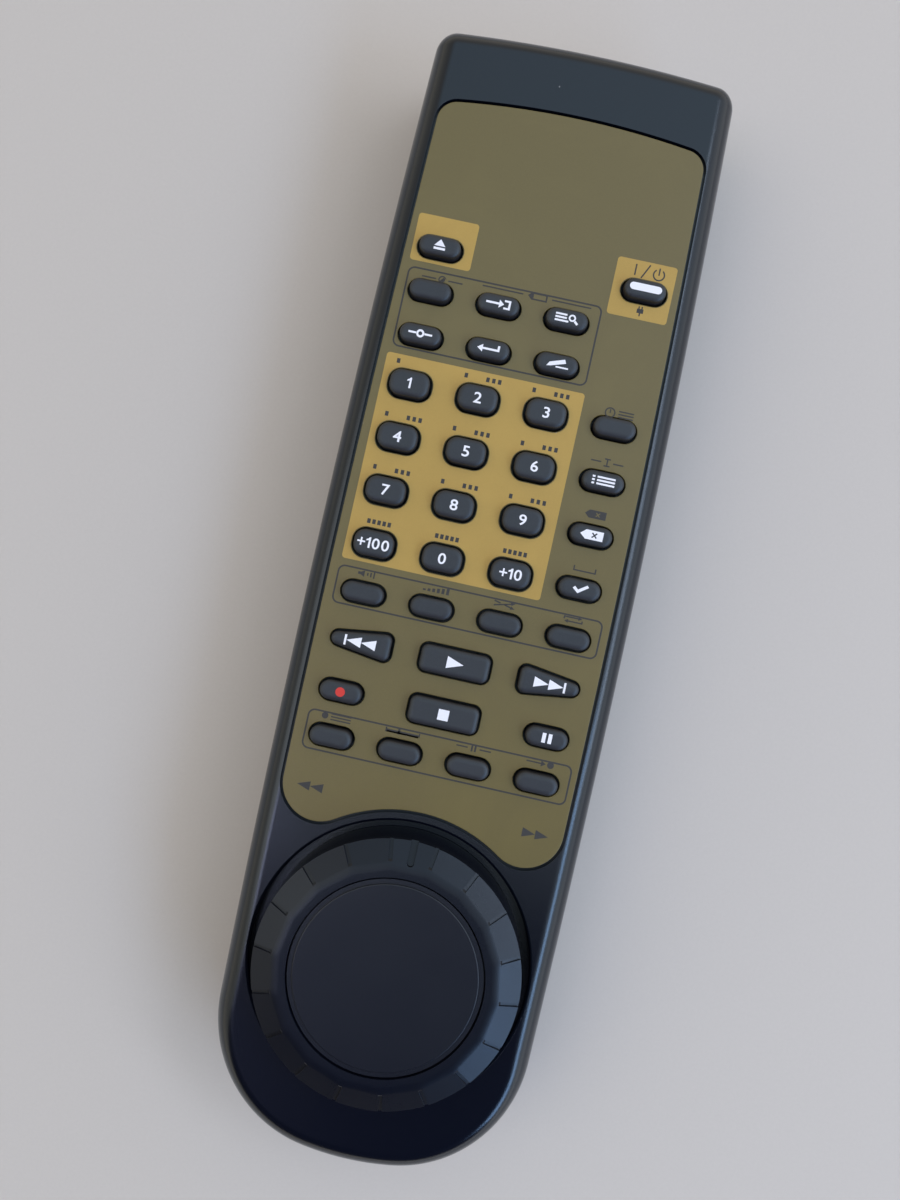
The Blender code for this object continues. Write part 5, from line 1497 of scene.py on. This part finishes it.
# Light: a dim room, glows in it, a dark figure behind the tail and two tilted windows at the right.
# Directions are turns from the right towards the head, and heights over the floor, in degrees
lightSettings = {
    "roomLevel": 0.390, "roomColour": (1.35, 1.197, 1.0), "figureLevel": 0.97, "windowReach": 1.3,
    "floorColour": (0.524, 0.493, 0.438), "floorSize": 6.0,
}
lightWindows = (
    {"name": "tailWindow", "towards": (-35.2, 36.3), "roll": 31.0, "size": (1.012, 0.300), "power": 6.6,
     "colour": (0.40, 0.60, 1.0)},
    {"name": "headWindow", "towards": (17.0, 46.0), "roll": 25.0, "size": (1.210, 0.250), "power": 4.4,
     "colour": (0.72, 0.78, 1.0)},
)
lightGlows = (
    {"towards": (0.0, -90.0), "bounds": (-0.95, -0.05), "colour": (0.420, 0.372, 0.311)},
    {"towards": (-11.8, 36.0), "bounds": (0.145, 1.0), "blend": "LINEAR", "colour": (0.45, 0.57, 0.80)},
    {"towards": (238.5, 59.5), "bounds": (0.961, 0.991), "colour": (4.8, 4.5, 7.2)},
    {"towards": (-171.9, 55.0), "bounds": (0.900, 0.999), "colour": (1.509, 1.454, 1.509)},
    {"towards": (90.0, 64.0), "bounds": (0.850, 0.985), "colour": (0.26, 0.42, 0.60)},
)
lightShades = (
    {"towards": (-60.0, 35.0), "bounds": (0.8425, 0.999)},
    {"towards": (-87.5, 34.9), "bounds": (0.739, 0.770)},
)


def arrowAt(turn, height):
    return Vector((cos(radians(turn)) * cos(radians(height)), sin(radians(turn)) * cos(radians(height)),
                   sin(radians(height))))


# How far the world's direction points along an arrow, from 0 to 1 between two bounds
def towards(tree, place, source, shape):
    along = addNode(tree, "ShaderNodeVectorMath", place, {"operation": "DOT_PRODUCT"})
    tree.links.new(source, along.inputs[0])
    along.inputs[1].default_value = arrowAt(*shape["towards"])
    low, high = shape["bounds"]
    level = addNode(tree, "ShaderNodeMapRange", (place[0] + 200, place[1]),
                    {"interpolation_type": shape.get("blend", "SMOOTHSTEP")},
                    {"From Min": low, "From Max": high})
    tree.links.new(along.outputs["Value"], level.inputs["Value"])
    return level.outputs["Result"]


def makeWorld():
    world = bpy.data.worlds.new("room")
    world.use_nodes = True
    tree = world.node_tree
    source = addNode(tree, "ShaderNodeTexCoord", (-1400, 0)).outputs["Generated"]
    total = None
    for index, glow in enumerate(lightGlows):
        level = towards(tree, (-1100, 300 * index), source, glow)
        tint = addNode(tree, "ShaderNodeVectorMath", (-600, 300 * index), {"operation": "SCALE"})
        tint.inputs[0].default_value = glow["colour"]
        tree.links.new(level, tint.inputs["Scale"])
        added = addNode(tree, "ShaderNodeVectorMath", (-400, 300 * index), {"operation": "ADD"})
        tree.links.new(tint.outputs["Vector"], added.inputs[0])
        if total is None:
            added.inputs[1].default_value = scaled(lightSettings["roomColour"], lightSettings["roomLevel"])
        else:
            tree.links.new(total, added.inputs[1])
        total = added.outputs["Vector"]
    first, second = [towards(tree, (-1100, -300 * (index + 1)), source, shade)
                     for index, shade in enumerate(lightShades)]
    both = addNode(tree, "ShaderNodeMath", (-600, -300), {"operation": "MAXIMUM"})
    tree.links.new(first, both.inputs[0])
    tree.links.new(second, both.inputs[1])
    raised = towards(tree, (-1100, -900), source, {"towards": (0.0, 90.0), "bounds": (0.08, 0.20)})
    over = addNode(tree, "ShaderNodeMath", (-500, -600), {"operation": "MULTIPLY"})
    tree.links.new(both.outputs["Value"], over.inputs[0])
    tree.links.new(raised, over.inputs[1])
    clear = addNode(tree, "ShaderNodeMath", (-400, -300), {"operation": "MULTIPLY_ADD"})
    clear.inputs[1].default_value = -lightSettings["figureLevel"]
    clear.inputs[2].default_value = 1.0
    tree.links.new(over.outputs["Value"], clear.inputs[0])
    background = tree.nodes["Background"]
    tree.links.new(total, background.inputs["Color"])
    tree.links.new(clear.outputs["Value"], background.inputs["Strength"])
    bpy.context.scene.world = world


def makeLight():
    makeWorld()
    for shape in lightWindows:
        place = arrowAt(*shape["towards"]) * lightSettings["windowReach"]
        roll = Quaternion((0.0, 0.0, 1.0), radians(shape["roll"]))
        turn = ((-place).to_track_quat("-Z", "Y") @ roll).to_euler()
        bpy.ops.object.light_add(type="AREA", location=place, rotation=turn)
        window = bpy.context.object
        window.name = shape["name"]
        window.data.shape = "RECTANGLE"
        window.data.size, window.data.size_y = shape["size"]
        window.data.energy = shape["power"]
        window.data.color = shape["colour"]


# The floor is open under the case's flat base, and clear from below, so that the underside can be looked at
def makeFloor():
    bpy.ops.mesh.primitive_plane_add(size=lightSettings["floorSize"])
    floor = bpy.context.object
    floor.name = "floor"
    foot = drawCase("foot", 0.0043, -0.01)
    raiseFace(0.02)
    closeMesh()
    openMesh(floor)
    bpy.ops.mesh.select_all(action="SELECT")
    raiseFace(-0.004)
    closeMesh()
    turnOutward(floor)
    carve(floor, foot)
    openMesh(floor)
    pick(floor, "faces", lambda face: face.calc_center_median().z < -0.0001)
    bpy.ops.mesh.delete(type="FACE")
    closeMesh()
    made = bpy.data.materials.new("floorPaper")
    made.use_nodes = True
    tree = made.node_tree
    shader = tree.nodes["Principled BSDF"]
    grain = useGroup(tree, groups["grain"], (-900, 200), {"Scale": 1500.0, "Sparkle": 0.3})
    colour = mixColours(tree, (-600, 200), grain.outputs["Shade"],
                        scaled(lightSettings["floorColour"], 0.985),
                        scaled(lightSettings["floorColour"], 1.015))
    tree.links.new(colour, shader.inputs["Base Color"])
    shader.inputs["Roughness"].default_value = 0.75
    clear = addNode(tree, "ShaderNodeBsdfTransparent", (0, -300))
    side = addNode(tree, "ShaderNodeNewGeometry", (0, 300))
    mixed = addNode(tree, "ShaderNodeMixShader", (300, 0))
    tree.links.new(side.outputs["Backfacing"], mixed.inputs[0])
    tree.links.new(shader.outputs["BSDF"], mixed.inputs[1])
    tree.links.new(clear.outputs["BSDF"], mixed.inputs[2])
    tree.links.new(mixed.outputs["Shader"], tree.nodes["Material Output"].inputs["Surface"])
    floor.data.materials.append(made)


bpy.context.scene.view_settings.view_transform = "Standard"
makeCamera()
makeLight()
makeFloor()
